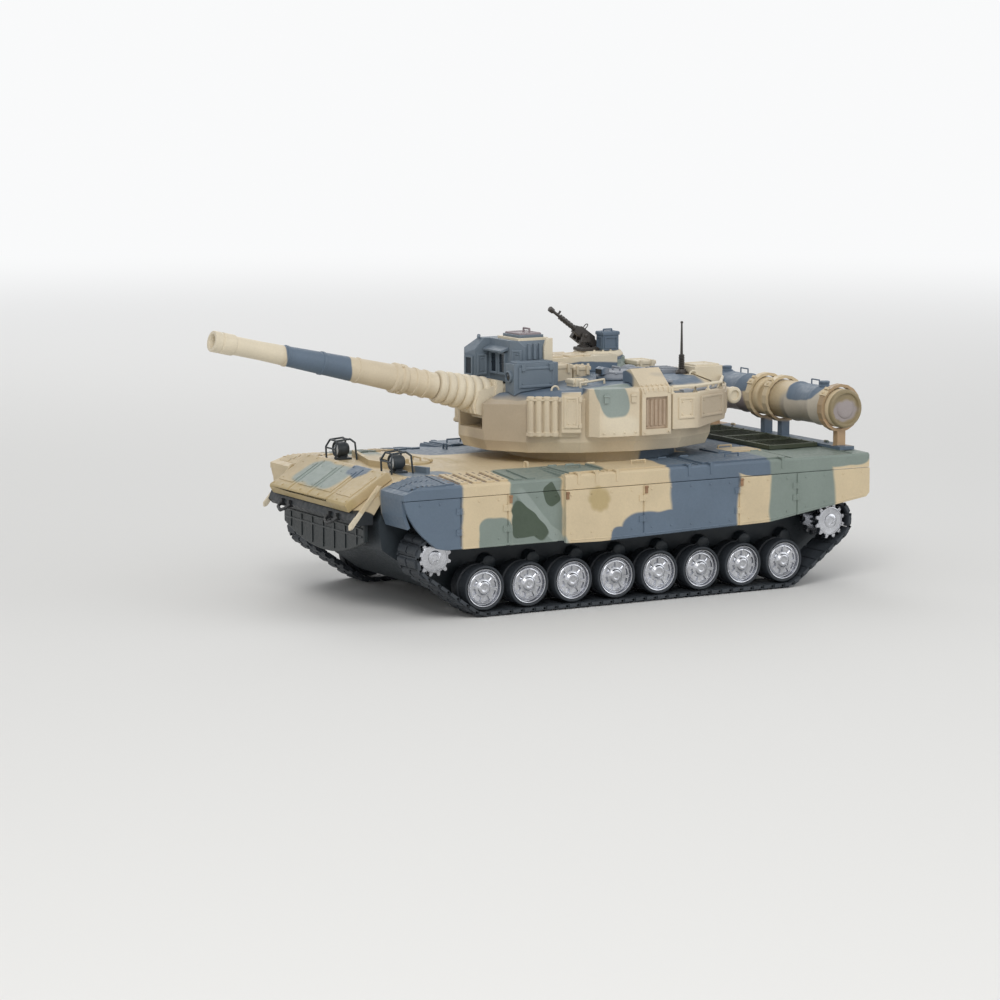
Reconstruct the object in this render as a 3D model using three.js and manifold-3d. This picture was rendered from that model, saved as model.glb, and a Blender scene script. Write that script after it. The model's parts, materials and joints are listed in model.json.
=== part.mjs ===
// Remote-control toy tank: hull, running gear, turret with raised gun, and the drive inside.
// Millimetres, +X forward, +Y left, +Z up. The turret turns about X = 0, Y = 0 while it is modelled.

import * as THREE from 'three';
import { mergeVertices } from 'three/addons/utils/BufferGeometryUtils.js';
import Module from 'manifold-3d';

const wasm = await Module();
wasm.setup();

// Fits
const gap = 0.3;
const wall = 2;

// Tub
const tubHalfWidth = 46.5;
const bellyZ = 9;

// Running gear, set out from the side of the tub
const wheelCount = 8;
const wheelPitch = 25;
const firstWheelX = 100;
const wheelRadius = 11;
const wheelWidth = 15;
const pinRadius = 1.6;
const beltThickness = 1.4;
const lugHeight = 1.3;
const lugPitch = 8.5;
const beltWidth = 20;
const beltClear = 4;
const beltMidY = tubHalfWidth + beltClear + beltWidth / 2;
const wheelFaceY = beltMidY + wheelWidth / 2;
const idlerX = 127.5;
const idlerZ = 31;
const sprocketX = -103.5;
const sprocketZ = 32.5;
const toothTipRadius = 9.2;
const toothDepth = 1.9;
const toothCount = 12;
const shaftRadius = 2;

// Hull
const seamZ = 60;
const deckZ = 68;
const rearX = -122;
const noseX = 160;
const noseZ = 52;
const glacisTopX = 134;
const guardTipX = 147;
const boxFrontX = 59;
const skirtClear = 2.5;
const skirtStep = 3;
const frontSkirtY = beltMidY + beltWidth / 2 + skirtClear;
const boxSkirtY = frontSkirtY + skirtStep;
const skirtBottomZ = 35;

// Turret and gun
const ringRadius = 44;
const turretBaseZ = 73.5;
const turretRimZ = 79;
const roofZ = 108;
const spigotRadius = 23.7;
const trunnionX = 50;
const trunnionZ = 96.5;
const gunRestAngle = 13;
const gunReach = 167;
const cradleHalfWidth = 11;

// Rear drums
const drumX = -114;
const drumZ = 89.5;
const drumRadius = 10.5;
const drumLength = 63;
const drumGap = 6;

// Battery door in the belly
const doorLength = 58;
const doorWidth = 65;
const doorX = -6;

// Finishes
const paintSand = new THREE.MeshStandardMaterial({ color: 0xd2b98c, roughness: 0.6, metalness: 0 });
const paintSlate = new THREE.MeshStandardMaterial({ color: 0x5b6878, roughness: 0.6, metalness: 0 });
const paintOlive = new THREE.MeshStandardMaterial({ color: 0x4c5a48, roughness: 0.65, metalness: 0 });
const chrome = new THREE.MeshStandardMaterial({ color: 0xd9dcdf, roughness: 0.15, metalness: 1 });
const rubber = new THREE.MeshStandardMaterial({ color: 0x23262a, roughness: 0.85, metalness: 0 });
const blackPlastic = new THREE.MeshStandardMaterial({ color: 0x1c1e21, roughness: 0.55, metalness: 0 });
const steel = new THREE.MeshStandardMaterial({ color: 0xa9adb2, roughness: 0.35, metalness: 1 });
const circuitGreen = new THREE.MeshStandardMaterial({ color: 0x1f5a3a, roughness: 0.5, metalness: 0 });
const lens = new THREE.MeshStandardMaterial({ color: 0xdfe6ea, roughness: 0.1, metalness: 0 });

const tank = new THREE.Group();

// A closed geometry as a solid
function solid(geometry) {
  const bare = geometry.clone();
  bare.deleteAttribute('normal');
  bare.deleteAttribute('uv');
  const merged = mergeVertices(bare, 1e-4);
  return facingOut(merged.attributes.position.array, merged.index.array);
}

function facingOut(places, corners) {
  const vertProperties = Float32Array.from(places);
  const triVerts = Uint32Array.from(corners);
  if (signedVolume(vertProperties, triVerts) < 0) {
    triVerts.reverse();
  }
  return new wasm.Manifold(new wasm.Mesh({ numProp: 3, vertProperties, triVerts }));
}

function signedVolume(places, corners) {
  const a = new THREE.Vector3();
  const b = new THREE.Vector3();
  const c = new THREE.Vector3();
  let sum = 0;
  for (let i = 0; i < corners.length; i += 3) {
    a.fromArray(places, 3 * corners[i]);
    b.fromArray(places, 3 * corners[i + 1]);
    c.fromArray(places, 3 * corners[i + 2]);
    sum += a.dot(b.cross(c));
  }
  return sum / 6;
}

function join(...parts) {
  return parts.reduce((whole, next) => whole.add(next));
}

// Adds a solid as a named mesh of the given finish
function piece(name, body, material, parent = tank) {
  const result = body.getMesh();
  const geometry = new THREE.BufferGeometry();
  geometry.setAttribute('position', new THREE.BufferAttribute(result.vertProperties, 3));
  geometry.setIndex(new THREE.BufferAttribute(result.triVerts, 1));
  geometry.computeVertexNormals();
  const mesh = new THREE.Mesh(geometry, material);
  mesh.name = name;
  parent.add(mesh);
  return mesh;
}

function outline(points) {
  return new THREE.Shape(points.map(([u, v]) => new THREE.Vector2(u, v)));
}

const axisX = new THREE.Vector3(1, 0, 0);
const axisY = new THREE.Vector3(0, 1, 0);
const axisZ = new THREE.Vector3(0, 0, 1);

function extruded(shape, depth, segments) {
  return new THREE.ExtrudeGeometry(shape, { depth, bevelEnabled: false, curveSegments: segments });
}

// A side view drawn as (x, z) points, made into a slab from y0 to y1
function slabY(points, y0, y1, segments = 6) {
  const shape = points instanceof THREE.Shape ? points : outline(points);
  const geometry = extruded(shape, y1 - y0, segments);
  geometry.applyMatrix4(new THREE.Matrix4().makeBasis(axisX, axisZ, axisY.clone().negate()));
  geometry.translate(0, y1, 0);
  return solid(geometry);
}

// A front view drawn as (y, z) points, made into a slab from x0 to x1
function slabX(points, x0, x1, segments = 6) {
  const shape = points instanceof THREE.Shape ? points : outline(points);
  const geometry = extruded(shape, x1 - x0, segments);
  geometry.applyMatrix4(new THREE.Matrix4().makeBasis(axisY, axisZ, axisX));
  geometry.translate(x0, 0, 0);
  return solid(geometry);
}

// A plan view drawn as (x, y) points, made into a slab from z0 to z1
function slabZ(points, z0, z1, segments = 6) {
  const shape = points instanceof THREE.Shape ? points : outline(points);
  const geometry = extruded(shape, z1 - z0, segments);
  geometry.translate(0, 0, z0);
  return solid(geometry);
}

function block(x0, x1, y0, y1, z0, z1) {
  const geometry = new THREE.BoxGeometry(x1 - x0, y1 - y0, z1 - z0);
  geometry.translate((x0 + x1) / 2, (y0 + y1) / 2, (z0 + z1) / 2);
  return solid(geometry);
}

// A revolved profile of (radius, height) points about an axis through the origin
function turned(profile, axis, segments = 24) {
  const geometry = new THREE.LatheGeometry(profile.map(([r, h]) => new THREE.Vector2(r, h)), segments);
  if (axis === 'z') {
    geometry.rotateX(Math.PI / 2);
  }
  if (axis === 'x') {
    geometry.rotateZ(-Math.PI / 2);
  }
  return solid(geometry);
}

function rod(radius, from, to, axis, segments = 16) {
  return turned([[0, from], [radius, from], [radius, to], [0, to]], axis, segments);
}

function tube(inner, outer, from, to, axis, segments = 24) {
  return turned([[inner, from], [outer, from], [outer, to], [inner, to], [inner, from]], axis, segments);
}

// A solid carried through a matrix
function placed(body, matrix) {
  const result = body.getMesh();
  const places = new THREE.BufferAttribute(Float32Array.from(result.vertProperties), 3).applyMatrix4(matrix);
  return facingOut(places.array, result.triVerts);
}

function moved(body, x, y, z) {
  return placed(body, new THREE.Matrix4().makeTranslation(x, y, z));
}

function spun(body, axis, angle) {
  return placed(body, new THREE.Matrix4().makeRotationAxis(axis, angle));
}

function mirrored(body) {
  return placed(body, new THREE.Matrix4().makeScale(1, -1, 1));
}

function bothSides(name, body, material, parent = tank) {
  piece(`${name}_left`, body, material, parent);
  piece(`${name}_right`, mirrored(body), material, parent);
}

// Tracks: a closed loop round the drive sprocket, the outer road wheels and the idler

const lowWheelZ = beltThickness + lugHeight + gap + wheelRadius;
const wheelXs = Array.from({ length: wheelCount }, (_, i) => firstWheelX - wheelPitch * i);
const beltHubs = [
  { x: sprocketX, z: sprocketZ, r: toothTipRadius + gap },
  { x: wheelXs[wheelCount - 1], z: lowWheelZ, r: wheelRadius + gap },
  { x: firstWheelX, z: lowWheelZ, r: wheelRadius + gap },
  { x: idlerX, z: idlerZ, r: toothTipRadius + gap },
];

// Runs between neighbouring hubs, each with the angle of its outward normal
function beltRuns() {
  return beltHubs.map((hub, i) => {
    const next = beltHubs[(i + 1) % beltHubs.length];
    const far = Math.hypot(next.x - hub.x, next.z - hub.z);
    const along = Math.atan2(next.z - hub.z, next.x - hub.x);
    return { hub, next, normal: along - Math.acos((hub.r - next.r) / far) };
  });
}

function offHub(hub, normal, offset) {
  const reach = hub.r + offset;
  return new THREE.Vector2(hub.x + reach * Math.cos(normal), hub.z + reach * Math.sin(normal));
}

// The loop as straight runs and arcs, each with its length and a point for a share of it
function beltStretches(offset) {
  const runs = beltRuns();
  return runs.flatMap((run, i) => {
    const start = offHub(run.hub, run.normal, offset);
    const end = offHub(run.next, run.normal, offset);
    const after = runs[(i + 1) % runs.length].normal;
    const sweep = THREE.MathUtils.euclideanModulo(after - run.normal, 2 * Math.PI);
    return [
      { length: start.distanceTo(end), sweep: 0, at: (share) => [start.clone().lerp(end, share), run.normal] },
      {
        length: sweep * (run.next.r + offset),
        sweep,
        at: (share) => [offHub(run.next, run.normal + sweep * share, offset), run.normal + sweep * share],
      },
    ];
  });
}

function beltInside() {
  const points = [];
  for (const stretch of beltStretches(0)) {
    const steps = Math.max(1, Math.round(stretch.sweep / 0.22));
    for (let k = 0; k < steps; k += 1) {
      points.push(stretch.at(k / steps)[0]);
    }
  }
  return points;
}

function alongLoop(stretches, distance) {
  let left = distance;
  for (const stretch of stretches) {
    if (left <= stretch.length) {
      return stretch.at(left / stretch.length);
    }
    left -= stretch.length;
  }
  return stretches[0].at(0);
}

// The outside has a raised lug on the first half of every link
function beltOutside() {
  const stretches = beltStretches(beltThickness);
  const total = stretches.reduce((sum, stretch) => sum + stretch.length, 0);
  const links = Math.round(total / lugPitch);
  const points = [];
  for (let k = 0; k < 2 * links; k += 1) {
    const [base, normal] = alongLoop(stretches, (k * total) / (2 * links));
    const crest = new THREE.Vector2(Math.cos(normal), Math.sin(normal)).multiplyScalar(lugHeight).add(base);
    points.push(...(k % 2 === 0 ? [base, crest] : [crest, base]));
  }
  return points;
}

const trackShape = new THREE.Shape(beltOutside());
trackShape.holes.push(new THREE.Path(beltInside()));
const track = slabY(trackShape, beltMidY - beltWidth / 2, beltMidY + beltWidth / 2);
bothSides('track', track, rubber);

// Road wheels: a tyre round a dished disc, turning on a pin of the lower hull

const wheelInnerY = wheelFaceY - wheelWidth;
const boreRadius = pinRadius + gap;
const roadWheel = turned([
  [boreRadius, wheelInnerY],
  [wheelRadius, wheelInnerY],
  [wheelRadius, wheelFaceY - 1],
  [wheelRadius - 1.6, wheelFaceY],
  [wheelRadius - 2.6, wheelFaceY - 2.2],
  [boreRadius, wheelFaceY - 2.2],
  [boreRadius, wheelInnerY],
], 'y', 14);
wheelXs.forEach((x, i) => {
  bothSides(`road_wheel_${i + 1}`, moved(roadWheel, x, 0, lowWheelZ), chrome);
});

// Idler and drive sprocket: two toothed rims on one hub

function toothedOutline() {
  const points = [];
  const step = (2 * Math.PI) / toothCount;
  for (let i = 0; i < toothCount; i += 1) {
    const corners = [[0, toothTipRadius - toothDepth], [0.35, toothTipRadius], [0.65, toothTipRadius]];
    corners.forEach(([share, r]) => {
      const angle = (i + share) * step;
      points.push([r * Math.cos(angle), r * Math.sin(angle)]);
    });
  }
  return points;
}

const rimThickness = 3;
const hubRadius = 6;

function toothedWheel(bore, boreEndY) {
  const rim = slabY(toothedOutline(), wheelFaceY - rimThickness, wheelFaceY);
  const innerRim = slabY(toothedOutline(), wheelInnerY, wheelInnerY + rimThickness);
  const hub = rod(hubRadius, wheelInnerY + 0.5, wheelFaceY - 0.5, 'y', 12);
  const dish = rod(hubRadius - 0.5, wheelFaceY - 1.4, wheelFaceY + 1, 'y', 12);
  const cap = rod(boreRadius + 1.6, wheelFaceY - 2, wheelFaceY - 0.3, 'y', 8);
  const boreHole = rod(bore, wheelInnerY - 1, boreEndY, 'y', 8);
  return join(rim, innerRim, hub).subtract(dish).add(cap).subtract(boreHole);
}

const idler = moved(toothedWheel(boreRadius, wheelFaceY + 1), idlerX, 0, idlerZ);
bothSides('idler', idler, chrome);
const shaftEndY = wheelFaceY - 2.5;
const sprocket = moved(toothedWheel(shaftRadius + gap, shaftEndY + gap), sprocketX, 0, sprocketZ);
bothSides('drive_sprocket', sprocket, chrome);
const shaftStartY = 9;
const shaft = moved(rod(shaftRadius, shaftStartY, shaftEndY, 'y', 8), sprocketX, 0, sprocketZ);
bothSides('drive_shaft', shaft, steel);

// Lower hull: an open tub with the wheel pins, the battery bay, the switch slot and the posts

const tubTopZ = seamZ - gap / 2;
const tubInnerHalf = tubHalfWidth - wall;
const tubOuter = [[-100, bellyZ], [110, bellyZ], [145, 33], [147, 47], [141, tubTopZ], [rearX + 2, tubTopZ],
  [rearX + 2, 26]];
const tubInner = [[-99, bellyZ + wall], [109.3, bellyZ + wall], [143, 34], [145, 47], [138.6, seamZ + 1],
  [rearX + 2 + wall, seamZ + 1], [rearX + 2 + wall, 27]];
const pinEndY = wheelFaceY - 1;
const bossEndY = wheelInnerY - gap;
const bossRadius = 4;

function pinAt(x, z) {
  const stepped = turned([[0, tubInnerHalf + 0.5], [bossRadius, tubInnerHalf + 0.5], [bossRadius, bossEndY],
    [pinRadius, bossEndY], [pinRadius, pinEndY], [0, pinEndY]], 'y', 8);
  return moved(stepped, x, 0, z);
}

const ledge = 2.5;
const doorThickness = 2;
const bayRoofZ = 28.5;
const earRadius = 5;
const earX = doorX - doorLength / 2;
const bayX0 = doorX - doorLength / 2 + ledge;
const bayX1 = doorX + doorLength / 2 - ledge;
const bayHalf = doorWidth / 2 - ledge;
const doorTopZ = bellyZ + doorThickness;
const screwRadius = 1.2;
const screwHeadRadius = 2.8;
const screwTopZ = 18;
const bossTopZ = 20;

const speakerX = 92;
const speakerRadius = 16;
const boardX0 = 74;
const boardX1 = 110;
const boardHalf = 30;
const boardZ = 24;
const postRadius = 2.5;

const switchX = 58;
const switchTravel = 4;
const knobHalfLength = 2;
const knobHalfWidth = 2.4;
const flangeHalfLength = 5;
const flangeThickness = 1.5;
const switchWallZ = 16;

let lowerHull = slabY(tubOuter, -tubHalfWidth, tubHalfWidth)
  .subtract(slabY(tubInner, -tubInnerHalf, tubInnerHalf));
const bayBlock = block(bayX0 - wall, bayX1 + wall, -bayHalf - wall, bayHalf + wall, bellyZ + 0.5,
  bayRoofZ + wall);
const bayLedge = block(earX - 1, doorX + doorLength / 2 + wall, -doorWidth / 2 - wall, doorWidth / 2 + wall,
  bellyZ + 0.5, doorTopZ + gap + wall);
const screwBoss = moved(rod(earRadius + 1, bellyZ + 0.5, bossTopZ, 'z', 14), earX, 0, 0);
const switchBox = block(switchX - 10, switchX + 14, -7, 7, bellyZ + 0.5, switchWallZ);
lowerHull = join(lowerHull, bayBlock, bayLedge, screwBoss, switchBox);
for (const x of [boardX0 + 4, boardX1 - 4]) {
  for (const y of [-boardHalf + 3, boardHalf - 3]) {
    lowerHull = lowerHull.add(moved(rod(postRadius, bellyZ + 0.5, boardZ - gap, 'z', 8), x, y, 0));
  }
}
const leftPins = join(...wheelXs.map((x) => pinAt(x, lowWheelZ)), pinAt(idlerX, idlerZ),
  moved(rod(bossRadius, tubInnerHalf + 0.5, bossEndY, 'y', 8), sprocketX, 0, sprocketZ));
lowerHull = join(lowerHull, leftPins, mirrored(leftPins));

const doorOpening = join(
  block(doorX - doorLength / 2, doorX + doorLength / 2, -doorWidth / 2, doorWidth / 2, bellyZ - 1,
    doorTopZ + gap),
  moved(rod(earRadius + gap, bellyZ - 1, doorTopZ + gap, 'z', 14), earX, 0, 0),
);
const bayHollow = block(bayX0, bayX1, -bayHalf, bayHalf, bellyZ - 1, bayRoofZ);
const screwHole = moved(rod(screwRadius + gap, bellyZ, bossTopZ + 1, 'z', 10), earX, 0, 0);
const shaftHole = moved(rod(shaftRadius + gap, -bossEndY - 1, bossEndY + 1, 'y', 8), sprocketX, 0, sprocketZ);
const switchSlot = block(switchX - knobHalfLength - gap, switchX + knobHalfLength + switchTravel + gap,
  -knobHalfWidth - gap, knobHalfWidth + gap, bellyZ - 1, bellyZ + wall + 1);
const flangeRoom = block(switchX - flangeHalfLength - gap, switchX + flangeHalfLength + switchTravel + gap,
  -knobHalfWidth - 1.3, knobHalfWidth + 1.3, bellyZ + wall, bellyZ + wall + flangeThickness + 2 * gap);
lowerHull = [doorOpening, bayHollow, screwHole, shaftHole, switchSlot, flangeRoom]
  .reduce((body, cut) => body.subtract(cut), lowerHull);
for (let i = 0; i < 7; i += 1) {
  const angle = (i * Math.PI) / 3;
  const reach = i === 6 ? 0 : 8;
  const soundHole = rod(1.4, bellyZ - 1, bellyZ + wall + 1, 'z', 8);
  const x = speakerX + reach * Math.cos(angle);
  lowerHull = lowerHull.subtract(moved(soundHole, x, reach * Math.sin(angle), 0));
}
piece('lower_hull', lowerHull, paintOlive);

// Battery door with its ear, screw and cell pack

const door = join(
  block(doorX - doorLength / 2 + gap, doorX + doorLength / 2 - gap, -doorWidth / 2 + gap, doorWidth / 2 - gap,
    bellyZ, doorTopZ),
  moved(rod(earRadius, bellyZ, doorTopZ, 'z', 14), earX, 0, 0),
).subtract(moved(rod(screwHeadRadius + gap, bellyZ - 1, bellyZ + 1.3, 'z', 12), earX, 0, 0))
  .subtract(moved(screwHole, 0, 0, -2));
piece('battery_door', door, blackPlastic);
const screw = moved(turned([[0, bellyZ + 0.1], [screwHeadRadius, bellyZ + 0.1], [screwHeadRadius, bellyZ + 1],
  [screwRadius, bellyZ + 1], [screwRadius, screwTopZ], [0, screwTopZ]], 'z', 12), earX, 0, 0);
piece('battery_door_screw', screw, steel);

const cellCount = 4;
const cellOverlap = 0.4;
const bayClear = 1.8;
const cellRadius = (bayHalf - bayClear + (cellOverlap * (cellCount - 1)) / 2) / cellCount;
const cellLength = doorLength - 2 * ledge - 2.5;
let cells = null;
for (let i = 0; i < cellCount; i += 1) {
  const y = (i - (cellCount - 1) / 2) * (2 * cellRadius - cellOverlap);
  const cell = moved(rod(cellRadius, doorX - cellLength / 2, doorX + cellLength / 2, 'x', 12),
    0, y, doorTopZ + gap + cellRadius);
  cells = cells ? cells.add(cell) : cell;
}
piece('battery_pack', cells, paintOlive);

// Drive: one gearbox housing with a motor for each track

const gearboxHalf = 22;
const gearboxFrontX = sprocketX + 18.5;
const gearboxRearX = sprocketX - 13.5;
const gearboxRearLowZ = 27.4;
const gearboxTopZ = sprocketZ + 13.5;
const motorRadius = 9.5;
const motorLength = 21;
const gearbox = slabY([[-98, bellyZ + wall + gap], [gearboxFrontX, bellyZ + wall + gap],
  [gearboxFrontX, gearboxTopZ - 3], [gearboxFrontX - 3, gearboxTopZ], [gearboxRearX + 4, gearboxTopZ],
  [gearboxRearX, gearboxTopZ - 4], [gearboxRearX, gearboxRearLowZ]], -gearboxHalf, gearboxHalf);
const shaftBore = moved(rod(shaftRadius + gap, shaftStartY - gap, gearboxHalf + 1, 'y', 8),
  sprocketX, 0, sprocketZ);
piece('gearbox', gearbox.subtract(shaftBore).subtract(mirrored(shaftBore)), blackPlastic);
const motorX = gearboxFrontX + gap + motorRadius;
const motor = moved(turned([[0, 0.5], [motorRadius - 1, 0.5], [motorRadius, 1.5], [motorRadius, motorLength],
  [3, motorLength], [3, motorLength + 1.5], [0, motorLength + 1.5]], 'y', 18), motorX, 0, sprocketZ + 3);
bothSides('drive_motor', motor, steel);

// Electronics: circuit board on its posts, speaker over the belly holes, slide switch

const boardThickness = 1.6;
const boardTopZ = boardZ + boardThickness;
const board = join(
  block(boardX0, boardX1, -boardHalf, boardHalf, boardZ, boardTopZ),
  block(boardX0 + 14, boardX0 + 26, -8, 4, boardTopZ - 0.2, boardTopZ + 2.5),
  block(boardX0 + 6, boardX0 + 12, 12, 24, boardTopZ - 0.2, boardTopZ + 5),
  moved(rod(3.2, boardTopZ - 0.2, boardTopZ + 9, 'z', 12), boardX1 - 9, -18, 0),
);
piece('circuit_board', board, circuitGreen);
const speakerZ = bellyZ + wall + gap;
const speaker = moved(turned([[0, speakerZ], [speakerRadius, speakerZ], [speakerRadius, speakerZ + 1.6],
  [speakerRadius / 2 + 1, speakerZ + 4.2], [speakerRadius / 2, speakerZ + 9], [0, speakerZ + 9]], 'z', 20),
speakerX, 0, 0);
piece('speaker', speaker, blackPlastic);
const switchSlider = join(
  block(switchX - knobHalfLength, switchX + knobHalfLength, -knobHalfWidth, knobHalfWidth, bellyZ - 1.5,
    bellyZ + wall + gap + 0.5),
  block(switchX - flangeHalfLength, switchX + flangeHalfLength, -knobHalfWidth - 1, knobHalfWidth + 1,
    bellyZ + wall + gap, bellyZ + wall + gap + flangeThickness),
);
piece('power_switch', switchSlider, blackPlastic);

// Upper hull: crowned deck over the tub, with hollow fenders, nose, splash board and turret ring

const coverZ = seamZ + gap / 2;
const fenderEdgeZ = 65.2;
const boxEdgeZ = 66.8;
const boxSideY = boxSkirtY - 0.6;
const deckHalf = tubHalfWidth + 0.5;

function crownedSection(sideY, edgeZ) {
  const right = [[deckHalf, deckZ], [sideY - 1, edgeZ + 0.6], [sideY, edgeZ - 0.4], [sideY, coverZ]];
  const left = right.map(([y, z]) => [-y, z]).reverse();
  return [...left, ...right];
}

const fenderSide = [[boxFrontX - 1, coverZ - 1], [boxFrontX - 1, deckZ + 1], [128, deckZ + 1], [141, deckZ - 3],
  [guardTipX, 63], [guardTipX, coverZ - 1]];
const aboveGlacis = slabY([[glacisTopX, deckZ], [noseX - 1, noseZ + 0.5], [noseX, deckZ + 4],
  [glacisTopX, deckZ + 4]], -deckHalf, deckHalf);
const frontBody = slabX(crownedSection(frontSkirtY, fenderEdgeZ), boxFrontX - 1, guardTipX)
  .intersect(slabY(fenderSide, -frontSkirtY - 1, frontSkirtY + 1))
  .subtract(aboveGlacis);
const boxBody = slabX(crownedSection(boxSideY, boxEdgeZ), rearX, boxFrontX);
const noseBody = slabY([[100, coverZ], [100, deckZ], [glacisTopX, deckZ], [noseX - 1, noseZ + 0.5],
  [noseX + 1, noseZ - 3.5], [noseX - 1.5, noseZ - 6], [noseX - 10, noseZ - 6], [noseX - 10, noseZ - 2],
  [noseX - 17, coverZ]], -deckHalf, deckHalf);
const guardStrip = slabY([[guardTipX - 2, coverZ + 1], [guardTipX, coverZ + 1], [guardTipX - 0.8, 52],
  [guardTipX - 3.2, 46], [guardTipX - 4.6, 46.8], [guardTipX - 2.4, 52.6]],
deckHalf + 1, frontSkirtY - wall - gap);

const deckCavity = slabY([[rearX + wall, coverZ - 4], [rearX + wall, deckZ - wall],
  [glacisTopX - 1, deckZ - wall], [noseX - 17.7, coverZ + 0.4], [noseX - 17.7, coverZ - 4]],
-deckHalf + wall, deckHalf - wall);
const noseCavity = slabY([[noseX - 8, noseZ - 8], [noseX - 8, noseZ + 3], [noseX - 3, noseZ - 0.8],
  [noseX - 1.4, noseZ - 3.5], [noseX - 3, noseZ - 8]], -deckHalf + wall, deckHalf - wall);
const fenderCavity = slabX([[deckHalf + wall, coverZ - 2], [frontSkirtY - wall, coverZ - 2],
  [frontSkirtY - wall, fenderEdgeZ - wall], [deckHalf + wall, deckZ - wall - 0.6]], boxFrontX + 1, 136);
const boxCavity = slabX([[deckHalf + wall, coverZ - 2], [boxSideY - wall, coverZ - 2],
  [boxSideY - wall, boxEdgeZ - wall], [deckHalf + wall, deckZ - wall - 0.6]],
rearX + wall, boxFrontX - wall - 1);

const collarTopZ = turretBaseZ - gap;
const spigotHole = rod(spigotRadius + gap, deckZ - 4, collarTopZ + 1, 'z', 32);
const splashBoard = slabZ([[128, 0], [117, 40], [115, 40], [125.6, 0], [115, -40], [117, -40]],
  deckZ - 0.5, deckZ + 3);
const driverHatch = moved(turned([[0, deckZ - 0.5], [9.5, deckZ - 0.5], [9.5, deckZ + 0.8], [8.3, deckZ + 1.4],
  [0, deckZ + 1.4]], 'z', 18), 104, 0, 0);

let upperHull = join(frontBody, boxBody, noseBody, guardStrip, mirrored(guardStrip));
const upperCuts = [deckCavity, noseCavity, fenderCavity, mirrored(fenderCavity), boxCavity,
  mirrored(boxCavity)];
upperHull = upperCuts.reduce((body, cut) => body.subtract(cut), upperHull);
upperHull = join(upperHull, rod(ringRadius, deckZ - 0.5, collarTopZ, 'z', 32), splashBoard, driverHatch)
  .subtract(spigotHole);

// Raised louvres on the front fenders and lids on the side boxes
const louvreCount = 7;
const louvrePitch = 7.5;
const lidXs = [[38, 55], [-16, 33], [-72, -22]];
function fenderTopZ(y, sideY, edgeZ) {
  return deckZ - ((deckZ - edgeZ - 0.6) * (y - deckHalf)) / (sideY - 1 - deckHalf);
}
function topRib(x0, x1, y0, y1, sideY, edgeZ, rise) {
  const z0 = fenderTopZ(y0, sideY, edgeZ);
  const z1 = fenderTopZ(y1, sideY, edgeZ);
  return slabX([[y0, z0 - 0.4], [y1, z1 - 0.4], [y1, z1 + rise], [y0, z0 + rise]], x0, x1);
}
for (let i = 0; i < louvreCount; i += 1) {
  const x = boxFrontX + 14 + louvrePitch * i;
  const rib = topRib(x, x + louvrePitch * 0.6, deckHalf + 2, frontSkirtY - 3, frontSkirtY, fenderEdgeZ, 0.8);
  upperHull = join(upperHull, rib, mirrored(rib));
}
for (const [x0, x1] of lidXs) {
  const lid = topRib(x0, x1, deckHalf + 3, boxSideY - 3, boxSideY, boxEdgeZ, 0.9);
  upperHull = join(upperHull, lid, mirrored(lid));
}
piece('upper_hull', upperHull, paintSand);

// Side skirts: a thin front plate with a curved nose, then thicker box panels

const skirtTopZ = seamZ - gap / 2;
const skirtWall = 2.2;
const skirtJoints = [116, 90, 14.5, -42, -77];
const jointWidth = 0.8;
const jointDepth = 0.7;
const guardCurve = new THREE.Shape();
guardCurve.moveTo(boxFrontX - skirtWall, skirtTopZ);
guardCurve.lineTo(guardTipX - 0.3, skirtTopZ);
guardCurve.quadraticCurveTo(guardTipX - 2.5, 47, 129, skirtBottomZ + 1);
guardCurve.lineTo(124, skirtBottomZ);
guardCurve.lineTo(boxFrontX - skirtWall, skirtBottomZ);
const frontPlate = slabY(guardCurve, frontSkirtY - wall, frontSkirtY, 8);
const boxPlate = slabY([[boxFrontX, skirtTopZ], [boxFrontX, skirtBottomZ - 1], [39, skirtBottomZ - 1.5],
  [-44, skirtBottomZ + 0.5], [-61, skirtBottomZ + 1], [rearX + 2, skirtBottomZ + 10],
  [rearX, skirtBottomZ + 12], [rearX, skirtTopZ]], boxSkirtY - skirtWall, boxSkirtY);
const returnWall = block(boxFrontX - skirtWall, boxFrontX, frontSkirtY - wall, boxSkirtY,
  skirtBottomZ, skirtTopZ);
let skirt = join(frontPlate, boxPlate, returnWall);
for (const x of skirtJoints) {
  const faceY = x > boxFrontX ? frontSkirtY : boxSkirtY;
  skirt = skirt.subtract(block(x - jointWidth / 2, x + jointWidth / 2, faceY - jointDepth, faceY + 1,
    skirtBottomZ + 1, skirtTopZ + 1));
}
bothSides('side_skirt', skirt, paintSlate);

// Bow: armour plate on the glacis, rubber flap below the nose, headlamps on the deck

const glacisAngle = Math.atan2(deckZ - noseZ - 0.5, noseX - 1 - (glacisTopX));
const glacisPlateStart = 3;
const glacisPlateEnd = 31;
const glacisPlateThickness = 5.2;
const glacisPlateHalf = tubHalfWidth - 4.5;
const plateProfile = [[glacisPlateStart, gap], [glacisPlateEnd, gap],
  [glacisPlateEnd, glacisPlateThickness - 1],
  [glacisPlateEnd - 1, glacisPlateThickness], [glacisPlateStart + 1, glacisPlateThickness],
  [glacisPlateStart, glacisPlateThickness - 1]];
let glacisPlate = slabY(plateProfile, -glacisPlateHalf, glacisPlateHalf);
for (const y of [-21, 0, 21]) {
  glacisPlate = glacisPlate.subtract(block(glacisPlateStart + 3, glacisPlateEnd + 1, y - 0.5, y + 0.5,
    glacisPlateThickness - 0.8, glacisPlateThickness + 1));
}
glacisPlate = moved(spun(glacisPlate, axisY, glacisAngle), glacisTopX, 0, deckZ);
piece('glacis_armour', glacisPlate, paintSand);

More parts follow.
